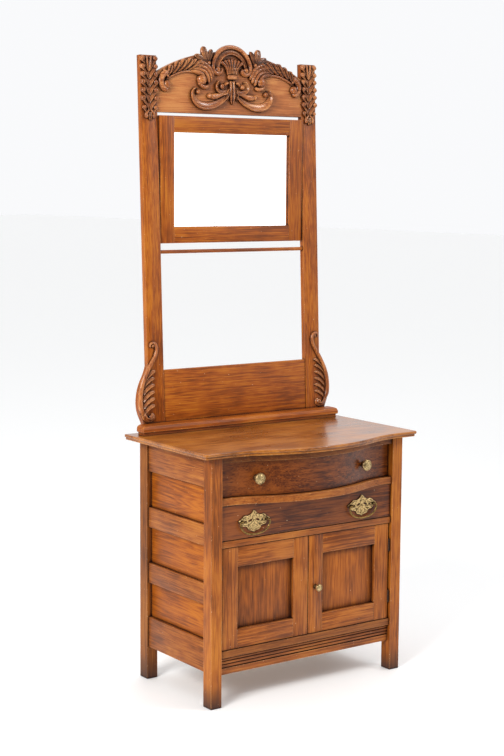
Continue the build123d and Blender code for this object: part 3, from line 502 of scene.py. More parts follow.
def leaves_tree():
    """Geometry Nodes that set leaves along a stem curve, each turned by the slant and sized by the stem's radius."""
    tree = bpy.data.node_groups.new("leaves along a stem", "GeometryNodeTree")
    face = tree.interface
    face.new_socket("Geometry", in_out="OUTPUT", socket_type="NodeSocketGeometry")
    face.new_socket("Stem", in_out="INPUT", socket_type="NodeSocketGeometry")
    kinds = {
        "Leaf": "Object", "Count": "Int", "Slant": "Float", "Unevenness": "Float", "Seed": "Int", "Wood": "Material",
    }
    for label, kind in kinds.items():
        face.new_socket(label, in_out="INPUT", socket_type="NodeSocket" + kind)
    given = add(tree, "NodeGroupInput").outputs
    spots = add(tree, "GeometryNodeCurveToPoints", {"Curve": given["Stem"], "Count": given["Count"]}, mode="COUNT")
    facing = add(
        tree, "FunctionNodeAlignRotationToVector", {"Vector": spots.outputs["Tangent"]}, axis="X", pivot_axis="Y",
    )
    low = times(tree, given["Unevenness"], -1.0)
    inputs = {2: low, 3: given["Unevenness"], "Seed": given["Seed"]}
    chance = add(tree, "FunctionNodeRandomValue", inputs, data_type="FLOAT")
    angle = sums(tree, "ADD", given["Slant"], chance.outputs[1])
    turn = add(tree, "FunctionNodeAxisAngleToRotation", {"Axis": (0.0, 1.0, 0.0), "Angle": angle})
    turned = add(
        tree, "FunctionNodeRotateRotation", {"Rotation": facing.outputs[0], "Rotate By": turn.outputs[0]},
        rotation_space="LOCAL",
    )
    leaf = add(tree, "GeometryNodeObjectInfo", {"Object": given["Leaf"]})
    size = add(tree, "GeometryNodeInputRadius")
    size = times(tree, size.outputs[0], sums(tree, "ADD", 1.0, times(tree, chance.outputs[1], 0.4)))
    placed = add(
        tree,
        "GeometryNodeInstanceOnPoints",
        {
            "Points": spots.outputs["Points"], "Instance": leaf.outputs["Geometry"], "Rotation": turned.outputs[0],
            "Scale": size,
        },
    )
    real = add(tree, "GeometryNodeRealizeInstances", {"Geometry": placed.outputs["Instances"]})
    coated = add(tree, "GeometryNodeSetMaterial", {"Geometry": real.outputs[0], "Material": given["Wood"]})
    add(tree, "NodeGroupOutput", {0: coated.outputs[0]})
    return tree


def leaves(stations, leaf, count, slant, unevenness, seed, timber):
    """A row of leaves along a stem through stations of (x, up, size), as a plain mesh."""
    curve = bpy.data.curves.new("stem", "CURVE")
    curve.dimensions = "3D"
    rows = along_curve([tuple(s) for s in stations], 24)
    line = curve.splines.new("POLY")
    line.points.add(len(rows) - 1)
    for point, (x, up, size) in zip(line.points, rows):
        point.co = (x * MM, 0.0, up * MM, 1.0)
        point.radius = size
    made = linked("stem", curve)
    modifier = made.modifiers.new("leaves", "NODES")
    tree = bpy.data.node_groups.get("leaves along a stem") or leaves_tree()
    modifier.node_group = tree
    values = {
        "Leaf": leaf, "Count": count, "Slant": radians(slant), "Unevenness": radians(unevenness), "Seed": seed,
        "Wood": timber,
    }
    for socket in tree.interface.items_tree:
        if socket.in_out == "INPUT" and socket.name in values:
            modifier[socket.identifier] = values[socket.name]
    return applied(made)


def carved_piece(node, meshes, material):
    """Carving drawn upright, set on the leaning harp in place of its node."""
    mesh = joined(meshes)
    mesh.transform(HARP)
    mesh_object(node + "_relief", mesh, material, "case", "carving", node)


# Sizes that a user would change


class CarvingSizes(bpy.types.PropertyGroup):
    crest_relief: FloatProperty(
        name="Crest relief", description="How far the crest's carving stands out", default=12.0, min=4.0, max=20.0,
    )
    leaf_relief: FloatProperty(
        name="Leaf relief", description="How far the posts' leaves stand out", default=8.0, min=3.0, max=16.0,
    )
    garland_leaves: IntProperty(
        name="Garland leaves", description="Leaves along each shoulder of the crest", default=7, min=4, max=20,
    )
    drop_leaves: IntProperty(
        name="Drop leaves", description="Leaves on each side of a post's drop", default=7, min=4, max=14,
    )
    flutes: IntProperty(
        name="Palmette flutes", description="Flutes in the palmette under the arch", default=7, min=3, max=11,
    )
    seed: IntProperty(name="Seed", description="Fixed seed for the carver's unevenness", default=4)


class TimberSizes(bpy.types.PropertyGroup):
    arris: FloatProperty(
        name="Arris", description="Rounding of the worn edges in millimetres", default=1.1, min=0.2, max=3.0,
    )


class StageSizes(bpy.types.PropertyGroup):
    floor: FloatProperty(
        name="Floor", description="Width of the pale floor", default=60.0, min=8.0, max=90.0, unit="LENGTH",
    )
    lens: FloatProperty(name="Lens", description="Focal length on a 36 mm frame", default=74.64, min=20.0, max=200.0)
    sky: FloatVectorProperty(
        name="Background", description="Colour seen past the piece", default=(0.98, 0.985, 1.0), size=3,
        subtype="COLOR",
    )


# Materials


LOOKS = {
    # Case timber: orange-brown stain under dull shellac, pale at the arrises from wear and a painted highlight
    "case timber": dict(stain="AE6A28 934E1A 65330D", rough=0.46, seed=1.0),
    # Rail and sill: a darker copy of the case stain with a wider crevice reach, painted shade from the boards over them
    # and dirt built up there
    "shaded timber": dict(stain="96581F 7C4318 4E270C", rough=0.46, reach=24.0, shut=0.35, seed=13.0),
    # Rear legs: a darker stain than the front legs
    "rear leg timber": dict(stain="9C5E24 824818 562B0B", rough=0.48, wear_and_highlight=0.5, seed=12.0, feet=True),
    # Legs: the same timber, handled and kicked, darker towards the floor at the feet
    "leg timber": dict(contrast=1.5, stain="B86E1F 9D5113 6D3609", rough=0.44, wear_and_highlight=0.9, seed=9.0, feet=True),
    # Side panels: even stain with a level figure
    "side panel": dict(stain="B36513 9B4E0C 733805", rough=0.46, figure=1.4, streak=6.0, seed=2.0),
    # Top boards: rubbed glossy by use, the joints opened
    "top board": dict(
        stain="B57128 9C581A 6C3A0D", rough=0.30, streak=6.0, seed=3.0, contrast=1.7, coat=0.4, cracks=True, wear_and_highlight=0.7,
    ),
    # Drawer fronts: darker and glossier than the case
    "drawer front": dict(
        stain="884613 70350A 431B04", rough=0.36, streak=7.0, seed=4.0, contrast=1.8, coat=0.2, wear_and_highlight=0.35,
    ),
    # Door frames and panels: brown stain, wax and painted shade built up deep in the panels' corners
    "door frame": dict(contrast=1.5, stain="B36924 985016 69320A", rough=0.46, seed=5.0),
    "door panel": dict(
        stain="B0621B 914A10 5E2D06", rough=0.46, streak=6.0, figure=0.7, reach=34.0, shut=0.30, seed=6.0,
    ),
    # Harp: the reddest timber, vertical figure in the posts
    "harp timber": dict(stain="B66A19 9E4E0F 733707", rough=0.42, contrast=1.5, seed=7.0),
    # Crest board: the same timber with a quieter face, painted paler for the stronger light that falls on it
    "crest timber": dict(
        stain="C68246 B06530 854920", rough=0.42, streak=24.0, figure=0.6, reach=30.0, shut=0.30, seed=11.0,
    ),
    # Carving: high points pale from rubbing and a painted highlight, dark wax and painted shade in the cuts
    "carved timber": dict(
        stain="D08C52 A25A2B 5E2E0F", rough=0.30, figure=0.0, wear_and_highlight=0.9, grime_and_shade=1.0, reach=16.0, shut=0.50, coat=0.3,
        seed=8.0,
    ),
}


def wood(name):
    """A finish by name and grain axis, made once."""
    found = bpy.data.materials.get(name)
    if found:
        return found
    kind, along = name.rsplit(" ", 1)
    return stained_wood(name, along, **LOOKS[kind])


# Each finish, the boards whose arrises are rubbed round, and the curved ones, which the CAD already eases
FINISHES = {
    "leg timber z": (["front_left_leg", "front_right_leg"], []),
    "rear leg timber z": (["rear_left_leg", "rear_right_leg"], []),
    "case timber x": (["door_rail"], ["drawer_rail", "reeded_bottom_rail"]),
    "shaded timber x": (["door_sill"], ["top_rail"]),
    "case timber y": (["left_side_rails", "right_side_rails"], []),
    "side panel y": (["left_side_panels", "right_side_panels"], []),
    "top board x": ([], ["front_top_board", "middle_top_board", "rear_top_board"]),
    "drawer front x": ([], ["upper_drawer_front", "lower_drawer_front"]),
    "door frame z": (["left_door_stiles", "right_door_stiles"], []),
    "door frame x": (["left_door_rails", "right_door_rails"], []),
    "door panel z": (["left_door_panel", "right_door_panel"], []),
    "harp timber z": (["left_harp_post", "right_harp_post", "mirror_stiles"], ["post_wings"]),
    "crest timber x": ([], ["crest_board"]),
    "harp timber x": (["splash_panel", "mirror_rails"], ["towel_bar", "harp_base_moulding"]),
}
RAW = {
    "raw board z": ["back_boards", "mirror_backboard"],
    "raw board x": [
        "cupboard_floor", "dust_panels", "door_stop", "upper_drawer_bottom", "lower_drawer_bottom",
        "mirror_glass_beads",
    ],
    "raw board y": ["drawer_runners", "upper_drawer_walls", "lower_drawer_walls"],
}


def body_of(node):
    """The body that a node rides on."""
    bodies = frame["record"]["behaviour"]["bodies"]
    return next(body for body, nodes in bodies.items() if node in nodes)


def slot_of(node):
    """The record's material slot of a node."""
    return next(entry["material_slot"] for entry in frame["record"]["subparts"] if entry["node"] == node)


def dress(node, material):
    """A new material on a carried-over node."""
    mesh = NODES[node].data
    mesh.materials.clear()
    mesh.materials.append(material)


def eased_copy(node, material, width):
    """A node's board again with its arrises rubbed round."""
    mesh = NODES[node].data.copy()
    work = bmesh.new()
    work.from_mesh(mesh)
    bmesh.ops.remove_doubles(work, verts=work.verts, dist=WELD)
    bmesh.ops.dissolve_limit(work, angle_limit=radians(0.5), verts=work.verts, edges=work.edges)
    work.to_mesh(mesh)
    work.free()
    made = linked(node + "_work", mesh)
    bevel = made.modifiers.new("arris", "BEVEL")
    bevel.width = width * MM
    bevel.segments = 2
    bevel.limit_method = "ANGLE"
    bevel.angle_limit = radians(40)
    bevel.use_clamp_overlap = True
    mesh = creased(applied(made), 45)
    return mesh_object(node + "_eased", mesh, material, body_of(node), slot_of(node), node)


# Operators


class WASHSTAND_OT_timber(bpy.types.Operator):
    """Gives every wooden node its grain and eases the boards that hands reach"""

    bl_idname = "washstand.timber"
    bl_label = "Timber"

    def execute(self, context):
        width = context.scene.washstand_timber.arris
        for name, (straight, curved) in FINISHES.items():
            for node in straight:
                eased_copy(node, wood(name), width)
            for node in curved:
                dress(node, wood(name))
        for name, nodes in RAW.items():
            material = raw_board(name, name[-1], "B58C5C", "7E5A36")
            for node in nodes:
                dress(node, material)
        return {"FINISHED"}


class WASHSTAND_OT_fittings(bpy.types.Operator):
    """Finishes the metal and the glass that keep their CAD shape"""

    bl_idname = "washstand.fittings"
    bl_label = "Fittings"

    def execute(self, context):
        iron = dark_iron("aged steel")
        for node in (
            "leg_hinge_leaves", "left_door_hinge_leaves", "right_door_hinge_leaves", "harp_screws", "mirror_pivot_pins",
        ):
            dress(node, iron)
        dress("mirror_pivot_bushes", aged_brass("dull brass", "A8894E", "4A3A20", 0.4))
        dress("mirror_glass", silvered_glass("silvered glass"))
        return {"FINISHED"}


class WASHSTAND_OT_pulls(bpy.types.Operator):
    """Stamps the pulls' plates with scrolls and hangs the bails of bent wire"""

    bl_idname = "washstand.pulls"
    bl_label = "Bail pulls"

    def execute(self, context):
        gilt = aged_brass("stamped brass", "E2C084", "3C260C", 0.28)
        dull = aged_brass("tarnished brass", "6A5230", "1A120A", 0.40)
        wire_brass = aged_brass("drawn brass wire", "94763F", "20160A", 0.30)
        dress("pull_plates", gilt)
        dress("pull_posts", dull)
        low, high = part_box("pull_plates")
        middle = (low.z + high.z) / 2 / MM
        border = [
            (0, 31), (9, 22), (22, 16), (35, 16.5), (43, 10), (52, 3), (44, -4), (39, -11), (25, -14), (19, -23),
            (9, -26.5), (0, -30),
        ]
        scrolls = [
            [(1, 25, 6, 1.6), (13, 16, 7.5, 2.0), (27, 12, 7, 1.8), (35, 8, 6, 1.6), (33, 2, 5, 1.5)],
            [(0, -1, 6, 1.8), (9, -8, 7, 2.0), (17, -15, 6, 1.7), (11, -22, 5, 1.5)],
            [(19, -3, 6, 1.6), (28, -7, 6.5, 1.8), (36, -6, 5.5, 1.5), (46, 2, 3.5, 1.1)],
            [(1, 4, 6, 1.8), (2, 14, 7, 2.2), (0, 22, 5, 1.6)],
        ]
        meshes = []
        for pull in (-1, 1):
            parts = []
            for side in (-1, 1):
                rows = [(side * x * 0.97, up * 0.97, 4.0, 2.2) for x, up in border]
                parts.append(strand(rows, ROUND, 60, 0, 0))
                for scroll in scrolls:
                    parts.append(strand([(side * x, up, width, height) for x, up, width, height in scroll], ROUND, 26))
                parts.append(dome(side * 40, 3, 6.5, 2.2))
            parts.append(dome(0, -2, 4.5, 2.6))
            parts.append(strand([(0, -12, 7, 1.6), (0, -28, 9, 1.8)], VEINED, 16, 0.3, 0.3))
            plate = joined(parts)
            plate.transform(Matrix.Translation((pull * PULL_X, low.y, middle * MM)))
            meshes.append(plate)
        mesh_object("pull_plate_scrolls", joined(meshes), gilt, "lower_drawer", slot_of("pull_plates"))
        bend = [(40, 0), (47, 1.5), (51.5, -3), (50, -13), (43, -24), (29, -33), (12, -37), (0, -37.8)]
        cad_wire_radius, bend_rise = 2.1, 1.5
        for body, pull in (("left_bail", -1), ("right_bail", 1)):
            low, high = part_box(body)
            axis_y = (low.y + high.y) / 2
            path = [(x, up, 5.0, 2.5) for x, up in bend]
            path += reflected(reversed(path[:-1]))
            wire = strand(path, WIRE, 90, 0.01, 0.01)
            # The bend's highest station lies at the middle of the CAD's wire
            top = high.z - cad_wire_radius * MM
            wire.transform(Matrix.Translation((pull * PULL_X, axis_y, top - bend_rise * MM)))
            mesh_object(body + "_wire", wire, wire_brass, body, slot_of(body), body)
        return {"FINISHED"}


class WASHSTAND_OT_knobs(bpy.types.Operator):
    """Turns the two drawer knobs and the door knob"""

    bl_idname = "washstand.knobs"
    bl_label = "Knobs"

    def execute(self, context):
        brass = aged_brass("worn brass knob", "C9AE7C", "5A4526", 0.36)
        # Darker necks: tarnish, and painted shade behind the heads
        dull = aged_brass("tarnished and shaded knob neck", "5C4528", "1E150A", 0.5)
        # A neck on a spread foot, and a mushroom head with a ring round its slightly domed face
        neck = [
            (0.0, 0.0), (0.56, 0.0), (0.58, 0.06), (0.50, 0.11), (0.38, 0.16), (0.36, 0.28), (0.42, 0.40), (0.70, 0.50),
            (0.84, 0.56), (0.0, 0.58),
        ]
        head = [
            (0.0, 0.53), (0.78, 0.54), (0.95, 0.58), (1.0, 0.66), (1.0, 0.74), (0.95, 0.82), (0.88, 0.87), (0.82, 0.88),
        ]
        head += [(0.78, 0.86), (0.72, 0.89), (0.52, 0.96), (0.26, 0.995), (0.0, 1.0)]

        def turned(outline, radius, reach, x, y, z):
            """A turned form on the -Y axis from an outline in shares of its size, its back against y."""
            turns = 48
            verts = []
            for share, out in outline:
                for turn in range(turns):
                    angle = tau * turn / turns
                    verts.append((x + radius * share * cos(angle), y - reach * out, z + radius * share * sin(angle)))
            faces = []
            for row in range(len(outline) - 1):
                for turn in range(turns):
                    after = (turn + 1) % turns
                    faces.append((
                        row * turns + turn, row * turns + after, (row + 1) * turns + after, (row + 1) * turns + turn,
                    ))
            return plain_mesh(verts, faces)

        for node, body in (("upper_drawer_knobs", "upper_drawer"), ("door_knob", "right_door")):
            low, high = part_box(node)
            radius = KNOB_SWELL * (high.z - low.z) / 2 / MM
            back = DRAWER_FACE if body == "upper_drawer" else DOOR_FACE
            places = (-KNOB_X / MM, KNOB_X / MM) if body == "upper_drawer" else ((low.x + high.x) / 2 / MM,)
            for part, outline, metal, stands_for in (("heads", head, brass, [node]), ("necks", neck, dull, [])):
                meshes = [
                    turned(outline, radius, back - low.y / MM, x, back, (low.z + high.z) / 2 / MM)
                    for x in places
                ]
                mesh_object(f"{node}_{part}", joined(meshes), metal, body, slot_of(node), *stands_for)
        return {"FINISHED"}


class WASHSTAND_OT_crest(bpy.types.Operator):
    """Carves the crest: arch, palmette, pendant, scrolls, finials and garlands"""

    bl_idname = "washstand.crest"
    bl_label = "Crest carving"

    def execute(self, context):
        sizes = context.scene.washstand_carving
        deep = sizes.crest_relief
        carved = wood("carved timber x")
        meshes = []

        def put(stations, profile, count=40, start=0.12, end=0.12):
            rows = [(x, CROWN + rise, width, height * deep) for x, rise, width, height in stations]
            meshes.append(strand(rows, profile, count, start, end))

        def both(stations, profile, count=40, start=0.12, end=0.12):
            put(stations, profile, count, start, end)
            put(reflected(stations), turned_over(profile), count, start, end)

        def bosses(x, rise, radius, height):
            for side in (-1, 1):
                meshes.append(dome(side * x, CROWN + rise, radius, height * deep))

        def arch(radius, first, step, width, height):
            """Stations over the arch, from an angle in degrees to the same one on the other side."""
            turns = [radians(turn) for turn in range(first, 179 - first, step)]
            return [(radius * cos(turn), ARCH_MIDDLE + radius * sin(turn), width, height) for turn in turns]

        # The arch: a round rim that hooks round a ball at each foot, over a broad hollow band
        foot = [(-43, -50, 9, 0.95), (-38, -56, 12, 1), (-42, -64, 14, 1), (-53, -67, 15, 1), (-65, -62, 15, 1)]
        put(foot + arch(71, 172, -9, 14, 1) + reflected(reversed(foot)), ROUND, 150, 0.03, 0.03)
        put(arch(56, 176, -8, 19, 0.78), LIPPED, 70, 0.03, 0.03)
        bosses(52, -56, 10, 1.2)
        # The palmette: flutes that fan out of the collar
        half = (sizes.flutes - 1) / 2
        for number in range(sizes.flutes):
            spread = (number - half) / half
            tip_rise = -19 - 12 * abs(spread) ** 1.6
            foot = (spread * 13, -71, 5.5, 0.6)
            middle = (spread * 23, -45, 9.5, 0.95)
            tip = (spread * 42, tip_rise, 14.5, 0.95)
            put([foot, middle, tip], ROUND, 28, 0.05, 0.12)
        # The collar between two cut lines
        put([(-16, -77.5, 16, 0.95), (0, -77, 17, 1.1), (16, -77.5, 16, 0.95)], ROUND, 24, 0.06, 0.06)
        # The pendant: a stem that opens into three pointed lobes
        put(
            [(0, -87, 24, 0.85), (0, -104, 18, 1), (0, -122, 22, 1.05), (0, -142, 19, 1), (0, -160, 6, 0.6)], FOLDED,
            40, 0.06, 0.12,
        )
        both([(6, -112, 8, 0.85), (15, -124, 13, 0.9), (18, -137, 10, 0.8), (16, -148, 5, 0.5)], FOLDED, 22)
        # Hooked leaves beside the pendant, each round a ball
        both([
            (9, -114, 13, 0.8), (26, -123, 18, 0.9), (43, -122, 18, 0.95), (54, -110, 16, 1), (50, -96, 13, 0.95),
            (41, -93, 10, 0.8),
        ], LIPPED, 46)
        both([(12, -94, 8, 0.7), (22, -97, 10, 0.9), (30, -104, 7, 0.7)], ROUND, 20)
        bosses(38, -106, 9, 1.1)
        # The lower S-scrolls: a dished band with a rolled rim, a ball at its end and a leaf lobe inside
        both([
            (12, -126, 12, 0.8), (36, -146, 18, 0.85), (64, -160, 23, 0.9), (94, -166, 26, 0.95), (122, -161, 25, 1),
            (138, -147, 21, 1), (143, -131, 17, 1), (137, -119, 14, 0.95), (127, -115, 11, 0.9),
        ], LIPPED, 70, 0.06, 0.06)
        bosses(126, -125, 8.5, 1.15)
        both([(30, -128, 10, 0.7), (50, -133, 17, 0.9), (68, -137, 19, 1), (82, -137, 15, 1)], ROUND, 34)
        bosses(84, -136, 8.5, 1.1)
        # Finials: three pointed lobes each side of the arch, over a boss
        both([(91, -38, 12, 0.9), (96, -18, 25, 1), (100, -2, 24, 0.95), (102, 12, 11, 0.7)], VEINED, 30, 0.05, 0.1)
        both(
            [(96, -36, 11, 0.9), (112, -25, 20, 0.95), (124, -19, 17, 0.9), (134, -17, 8, 0.7)], VEINED, 26, 0.05, 0.15,
        )
        both([(88, -36, 10, 0.9), (81, -18, 17, 0.95), (75, -3, 13, 0.9), (71, 5, 6, 0.7)], VEINED, 26, 0.05, 0.15)
        bosses(86, -38, 7.5, 1.25)
        # The hook at the garland's outer end wraps a large ball
        both([
            (226, -70, 15, 0.85), (243, -76, 20, 0.9), (255, -92, 21, 1), (253, -111, 20, 1), (242, -121, 18, 1),
            (230, -118, 15, 1),
        ], ROUND, 50)
        bosses(236, -107, 13.5, 1.3)
        both([(246, -62, 10, 0.7), (238, -76, 12, 0.9), (229, -88, 7, 0.8)], ROUND, 20)
        # The bud under the garland's root: a ball half hidden by folds that run down from the root leaf
        bosses(110, -88, 17.5, 1.35)
        both([(124, -97, 9, 0.8), (112, -107, 14, 0.95), (97, -110, 14, 0.95), (86, -104, 9, 0.8)], ROUND, 26)
        for veins in (
            [(148, -47, 8, 0.75), (118, -36, 15, 0.95), (90, -46, 17, 1), (74, -66, 15, 0.95), (68, -84, 8, 0.8)],
            [(148, -52, 8, 0.75), (118, -46, 15, 1), (94, -56, 17, 1.1), (81, -73, 15, 1.05), (76, -94, 9, 0.9)],
            [(148, -57, 8, 0.75), (120, -57, 15, 1), (101, -65, 16, 1.15), (90, -80, 15, 1.1), (85, -101, 9, 0.95)],
            [(152, -62, 8, 0.75), (128, -66, 15, 1), (112, -71, 14, 1.1), (101, -82, 9, 1)],
        ):
            both(veins, ROUND, 36)
        # The garlands: a spine under long folded leaves that lie over one another like a rope
        both(
            [(238, -94, 7, 0.5), (212, -79, 8, 0.5), (182, -68, 9, 0.5), (150, -65, 9, 0.5), (126, -70, 7, 0.5)], ROUND,
            44,
        )
        rows = [
            (0, 0, 8, 0.6 * deep), (12, -1.5, 16, 0.95 * deep), (28, -1, 21, 1.2 * deep), (41, 1.5, 20, 1.25 * deep),
            (49, 4, 13, 1.1 * deep),
        ]
        for side in (-1, 1):
            leaf = leaf_template([(x, -side * off, width, height) for x, off, width, height in rows], FOLDED)
            stem = [(side * x, CROWN + rise, size) for x, rise, size in (
                (252, -94, 0.62), (228, -79, 0.84), (200, -67, 0.98), (172, -60, 1), (142, -58, 0.96),
            )]
            meshes.append(leaves(stem, leaf, sizes.garland_leaves, side * 30, 2, sizes.seed + side, carved))
            bpy.data.objects.remove(leaf)
        carved_piece("crest_carving", meshes, carved)
        return {"FINISHED"}


class WASHSTAND_OT_drops(bpy.types.Operator):
    """Carves the drop of paired leaves on each post"""

    bl_idname = "washstand.drops"
    bl_label = "Leaf drops"

    def execute(self, context):
        sizes = context.scene.washstand_carving
        carved = wood("carved timber z")
        deep = sizes.leaf_relief
        meshes = []
        rows = [
            (0, 0, 5, 0.55 * deep), (14, -1, 9, 0.8 * deep), (32, -0.5, 12.5, 1.0 * deep), (44, 1, 16.5, 1.2 * deep),
            (52, 2, 14, 1.15 * deep),
        ]
        kinds = {}
        for hand, profile in ((1, LIPPED), (-1, TURNED_LIP)):
            kinds[hand] = leaf_template(
                [(x, -hand * off, width, height) for x, off, width, height in rows], profile, 0.52,
            )
        for side in (-1, 1):
            x = side * POST_MIDDLE
            for hand in (-1, 1):
                # Long leaves rise off the middle line and end in rounded tips at the post's edges
                stem = [(x, 934, 0.88), (x, 958, 1), (x, 1073, 1)]
                meshes.append(leaves(stem, kinds[hand], sizes.drop_leaves, hand * 28, 1.5, sizes.seed + hand, carved))
                tip = [
                    (x, 1072, 6, 0.7 * deep), (x + hand * 5, 1095, 10, 0.95 * deep),
                    (x + hand * 8, 1120, 9, 0.9 * deep),
                ]
                meshes.append(strand(tip, ROUND, 22, 0.05, 0.15))
                bud = [
                    (x + hand * 2, 962, 7, 0.8 * deep), (x + hand * 12, 950, 11, deep),
                    (x + hand * 15, 940, 9, 0.9 * deep),
                ]
                meshes.append(strand(bud, ROUND, 20, 0.1, 0.3))
                meshes.append(dome(x + hand * 12, 943, 7, 1.2 * deep))
            meshes.append(strand([(x, 956, 8, 0.8 * deep), (x, 942, 11, deep), (x, 930, 6, 0.7 * deep)], FOLDED, 20))
        for leaf in kinds.values():
            bpy.data.objects.remove(leaf)
        carved_piece("post_leaf_drops", meshes, carved)
        return {"FINISHED"}


class WASHSTAND_OT_scrolls(bpy.types.Operator):
    """Carves the leaf scroll over each wing"""

    bl_idname = "washstand.scrolls"
    bl_label = "Leaf scrolls"

    def execute(self, context):
        sizes = context.scene.washstand_carving
        deep = sizes.leaf_relief
        carved = wood("carved timber z")
        stem = [
            (-13, 257, 7, 0.8), (-8, 263, 8, 0.85), (-13, 271, 9, 0.9), (-25, 269, 11, 0.95), (-31, 254, 12, 1),
            (-26, 234, 13, 1), (-12, 211, 14, 1), (3, 187, 15, 1), (16, 161, 16, 1), (25, 136, 16, 1),
            (29, 108, 16, 1), (28, 80, 16, 1), (19, 56, 16, 1),
        ]
        curl = [
            (22, 64, 14, 0.9), (13, 45, 17, 1.05), (-2, 39, 16, 1.15), (-15, 45, 13, 1.15), (-14, 56, 10, 1.05),
            (-6, 58, 8, 1),
        ]
        meshes = []
        for side in (-1, 1):
            lip = LIPPED if side > 0 else TURNED_LIP
            for stations, profile, count in ((stem, ROUND, 90), (curl, lip, 40)):
                rows = [(side * (POST_EDGE + out), up, width, height * deep) for out, up, width, height in stations]
                meshes.append(strand(rows, profile, count, 0.06, 0.08))
            meshes.append(dome(side * (POST_EDGE - 19), 263, 6, 0.9 * deep))
            meshes.append(dome(side * (POST_EDGE - 5), 50, 8, 1.1 * deep))
            for number in range(6):
                foot = 172 - 20.5 * number
                inset = 7 if number == 0 else 0
                ridge = [
                    (21 - inset, foot - 16, 7, 0.6), (13 - inset, foot - 3, 10, 0.85),
                    (-2 - inset, foot + 10, 12, 1.05), (-15 - inset / 2, foot + 15, 11, 1.1),
                    (-23 - inset / 2, foot + 15, 7, 0.9),
                ]
                rows = [(side * (POST_EDGE + out), up, width, height * deep) for out, up, width, height in ridge]
                meshes.append(strand(rows, LIPPED if side < 0 else TURNED_LIP, 26, 0.1, 0.2))
        carved_piece("leaf_scrolls", meshes, carved)
        return {"FINISHED"}


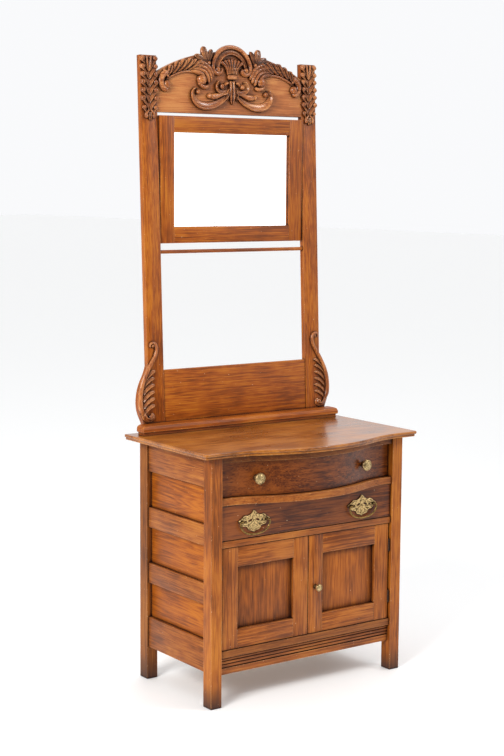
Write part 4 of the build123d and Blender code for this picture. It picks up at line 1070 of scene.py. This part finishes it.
class WASHSTAND_OT_stage(bpy.types.Operator):
    """Sets the pale floor, the soft light and the camera at the photograph's place"""

    bl_idname = "washstand.stage"
    bl_label = "Stage"

    def execute(self, context):
        sizes = context.scene.washstand_stage
        # The floor begins 1.7 m before the piece's origin, runs far behind it and lies just under the feet
        wide, near, level = sizes.floor / 2 / MM, -1700, -0.5
        far = near + 2 * wide
        verts = [(-wide, near, level), (wide, near, level), (wide, far, level), (-wide, far, level)]
        floor = linked("floor", plain_mesh(verts, [(0, 1, 2, 3)], False))
        material, tree, shader = new_material("white studio floor")
        fill(tree, shader, {"Base Color": linear("FAFBFC"), "Roughness": 0.6})
        fill(tree, shader, {"Emission Color": linear("FFFFFF"), "Emission Strength": 0.07})
        floor.data.materials.append(material)

        def lamp(name, place, target, size, power, colour):
            light = bpy.data.lights.new(name, "AREA")
            light.size = size
            light.energy = power
            light.color = colour
            made = linked(name, light)
            made.location = place
            made.rotation_euler = (Vector(target) - Vector(place)).to_track_quat("-Z", "Y").to_euler()

        lamp("key", (-4.2, -1.9, 3.0), (0, 0, 0.85), 1.6, 225, (1.0, 0.985, 0.96))
        lamp("window", (1.9, -2.1, 3.0), (0, 0.1, 1.8), 0.45, 22, (1.0, 0.99, 0.97))
        lamp("soft box", (2.8, -3.75, 1.55), (0, 0.2, 1.5), 1.7, 13, (0.98, 0.99, 1.0))
        # The light all round is weak behind the camera, and strong overhead and beyond to the right
        world = bpy.data.worlds.new("soft surround")
        world.use_nodes = True
        tree = world.node_tree
        tree.nodes.clear()
        toward = add(tree, "ShaderNodeSeparateXYZ", {"Vector": add(tree, "ShaderNodeTexCoord").outputs["Generated"]})
        sideways = times(tree, toward.outputs["X"], 0.9)
        away = sums(tree, "ADD", sideways, times(tree, toward.outputs["Y"], 0.43))
        overhead = between(tree, toward.outputs["Z"], 0.2, 0.8, 0.0, 0.48)
        strength = sums(tree, "ADD", between(tree, away, -0.45, 0.65, 0.16, 0.95), overhead)
        lit = add(tree, "ShaderNodeBackground", {"Color": (1.0, 1.0, 1.0, 1.0), "Strength": strength})
        seen = add(tree, "ShaderNodeBackground", {"Color": list(sizes.sky) + [1.0], "Strength": 0.97})
        ray = add(tree, "ShaderNodeLightPath").outputs["Is Camera Ray"]
        surround = add(tree, "ShaderNodeMixShader", {0: ray, 1: lit.outputs[0], 2: seen.outputs[0]})
        add(tree, "ShaderNodeOutputWorld", {"Surface": surround.outputs[0]})
        context.scene.world = world
        context.scene.view_settings.view_transform = "Standard"

        yaw, pitch, roll = (radians(angle) for angle in CAMERA_TURN)
        ahead = Vector((sin(yaw) * cos(pitch), cos(yaw) * cos(pitch), -sin(pitch)))
        level = Vector((cos(yaw), -sin(yaw), 0))
        rise = level.cross(ahead)
        right = level * cos(roll) + rise * sin(roll)
        up = rise * cos(roll) - level * sin(roll)
        data = bpy.data.cameras.new("photo camera")
        data.lens = sizes.lens
        data.sensor_width = SENSOR
        camera = linked("photo camera", data)
        turn = Matrix((right, up, -ahead)).transposed().to_4x4()
        camera.matrix_world = Matrix.Translation(CAMERA_PLACE) @ turn
        context.scene.camera = camera
        return {"FINISHED"}


class WASHSTAND_PT_pieces(bpy.types.Panel):
    """The washstand's pieces and sizes"""

    bl_idname = "WASHSTAND_PT_pieces"
    bl_label = "Washstand"
    bl_space_type = "VIEW_3D"
    bl_region_type = "UI"
    bl_category = "Washstand"

    def draw(self, context):
        for operator in PIECES:
            self.layout.operator(operator.bl_idname)
        for name, kind in GROUPS.items():
            for size in kind.__annotations__:
                self.layout.prop(getattr(context.scene, name), size)


GROUPS = {"washstand_carving": CarvingSizes, "washstand_timber": TimberSizes, "washstand_stage": StageSizes}
PIECES = [
    WASHSTAND_OT_stage,
    WASHSTAND_OT_timber,
    WASHSTAND_OT_fittings,
    WASHSTAND_OT_pulls,
    WASHSTAND_OT_knobs,
    WASHSTAND_OT_crest,
    WASHSTAND_OT_drops,
    WASHSTAND_OT_scrolls,
]


def register():
    for name, group in GROUPS.items():
        bpy.utils.register_class(group)
        setattr(bpy.types.Scene, name, PointerProperty(type=group))
    for piece in PIECES + [WASHSTAND_PT_pieces]:
        bpy.utils.register_class(piece)


def unregister():
    for piece in reversed(PIECES + [WASHSTAND_PT_pieces]):
        bpy.utils.unregister_class(piece)
    for name, group in GROUPS.items():
        delattr(bpy.types.Scene, name)
        bpy.utils.unregister_class(group)


def main():
    register()
    for piece in PIECES:
        family, name = piece.bl_idname.split(".")
        getattr(getattr(bpy.ops, family), name)()


if __name__ == "__main__":
    main()
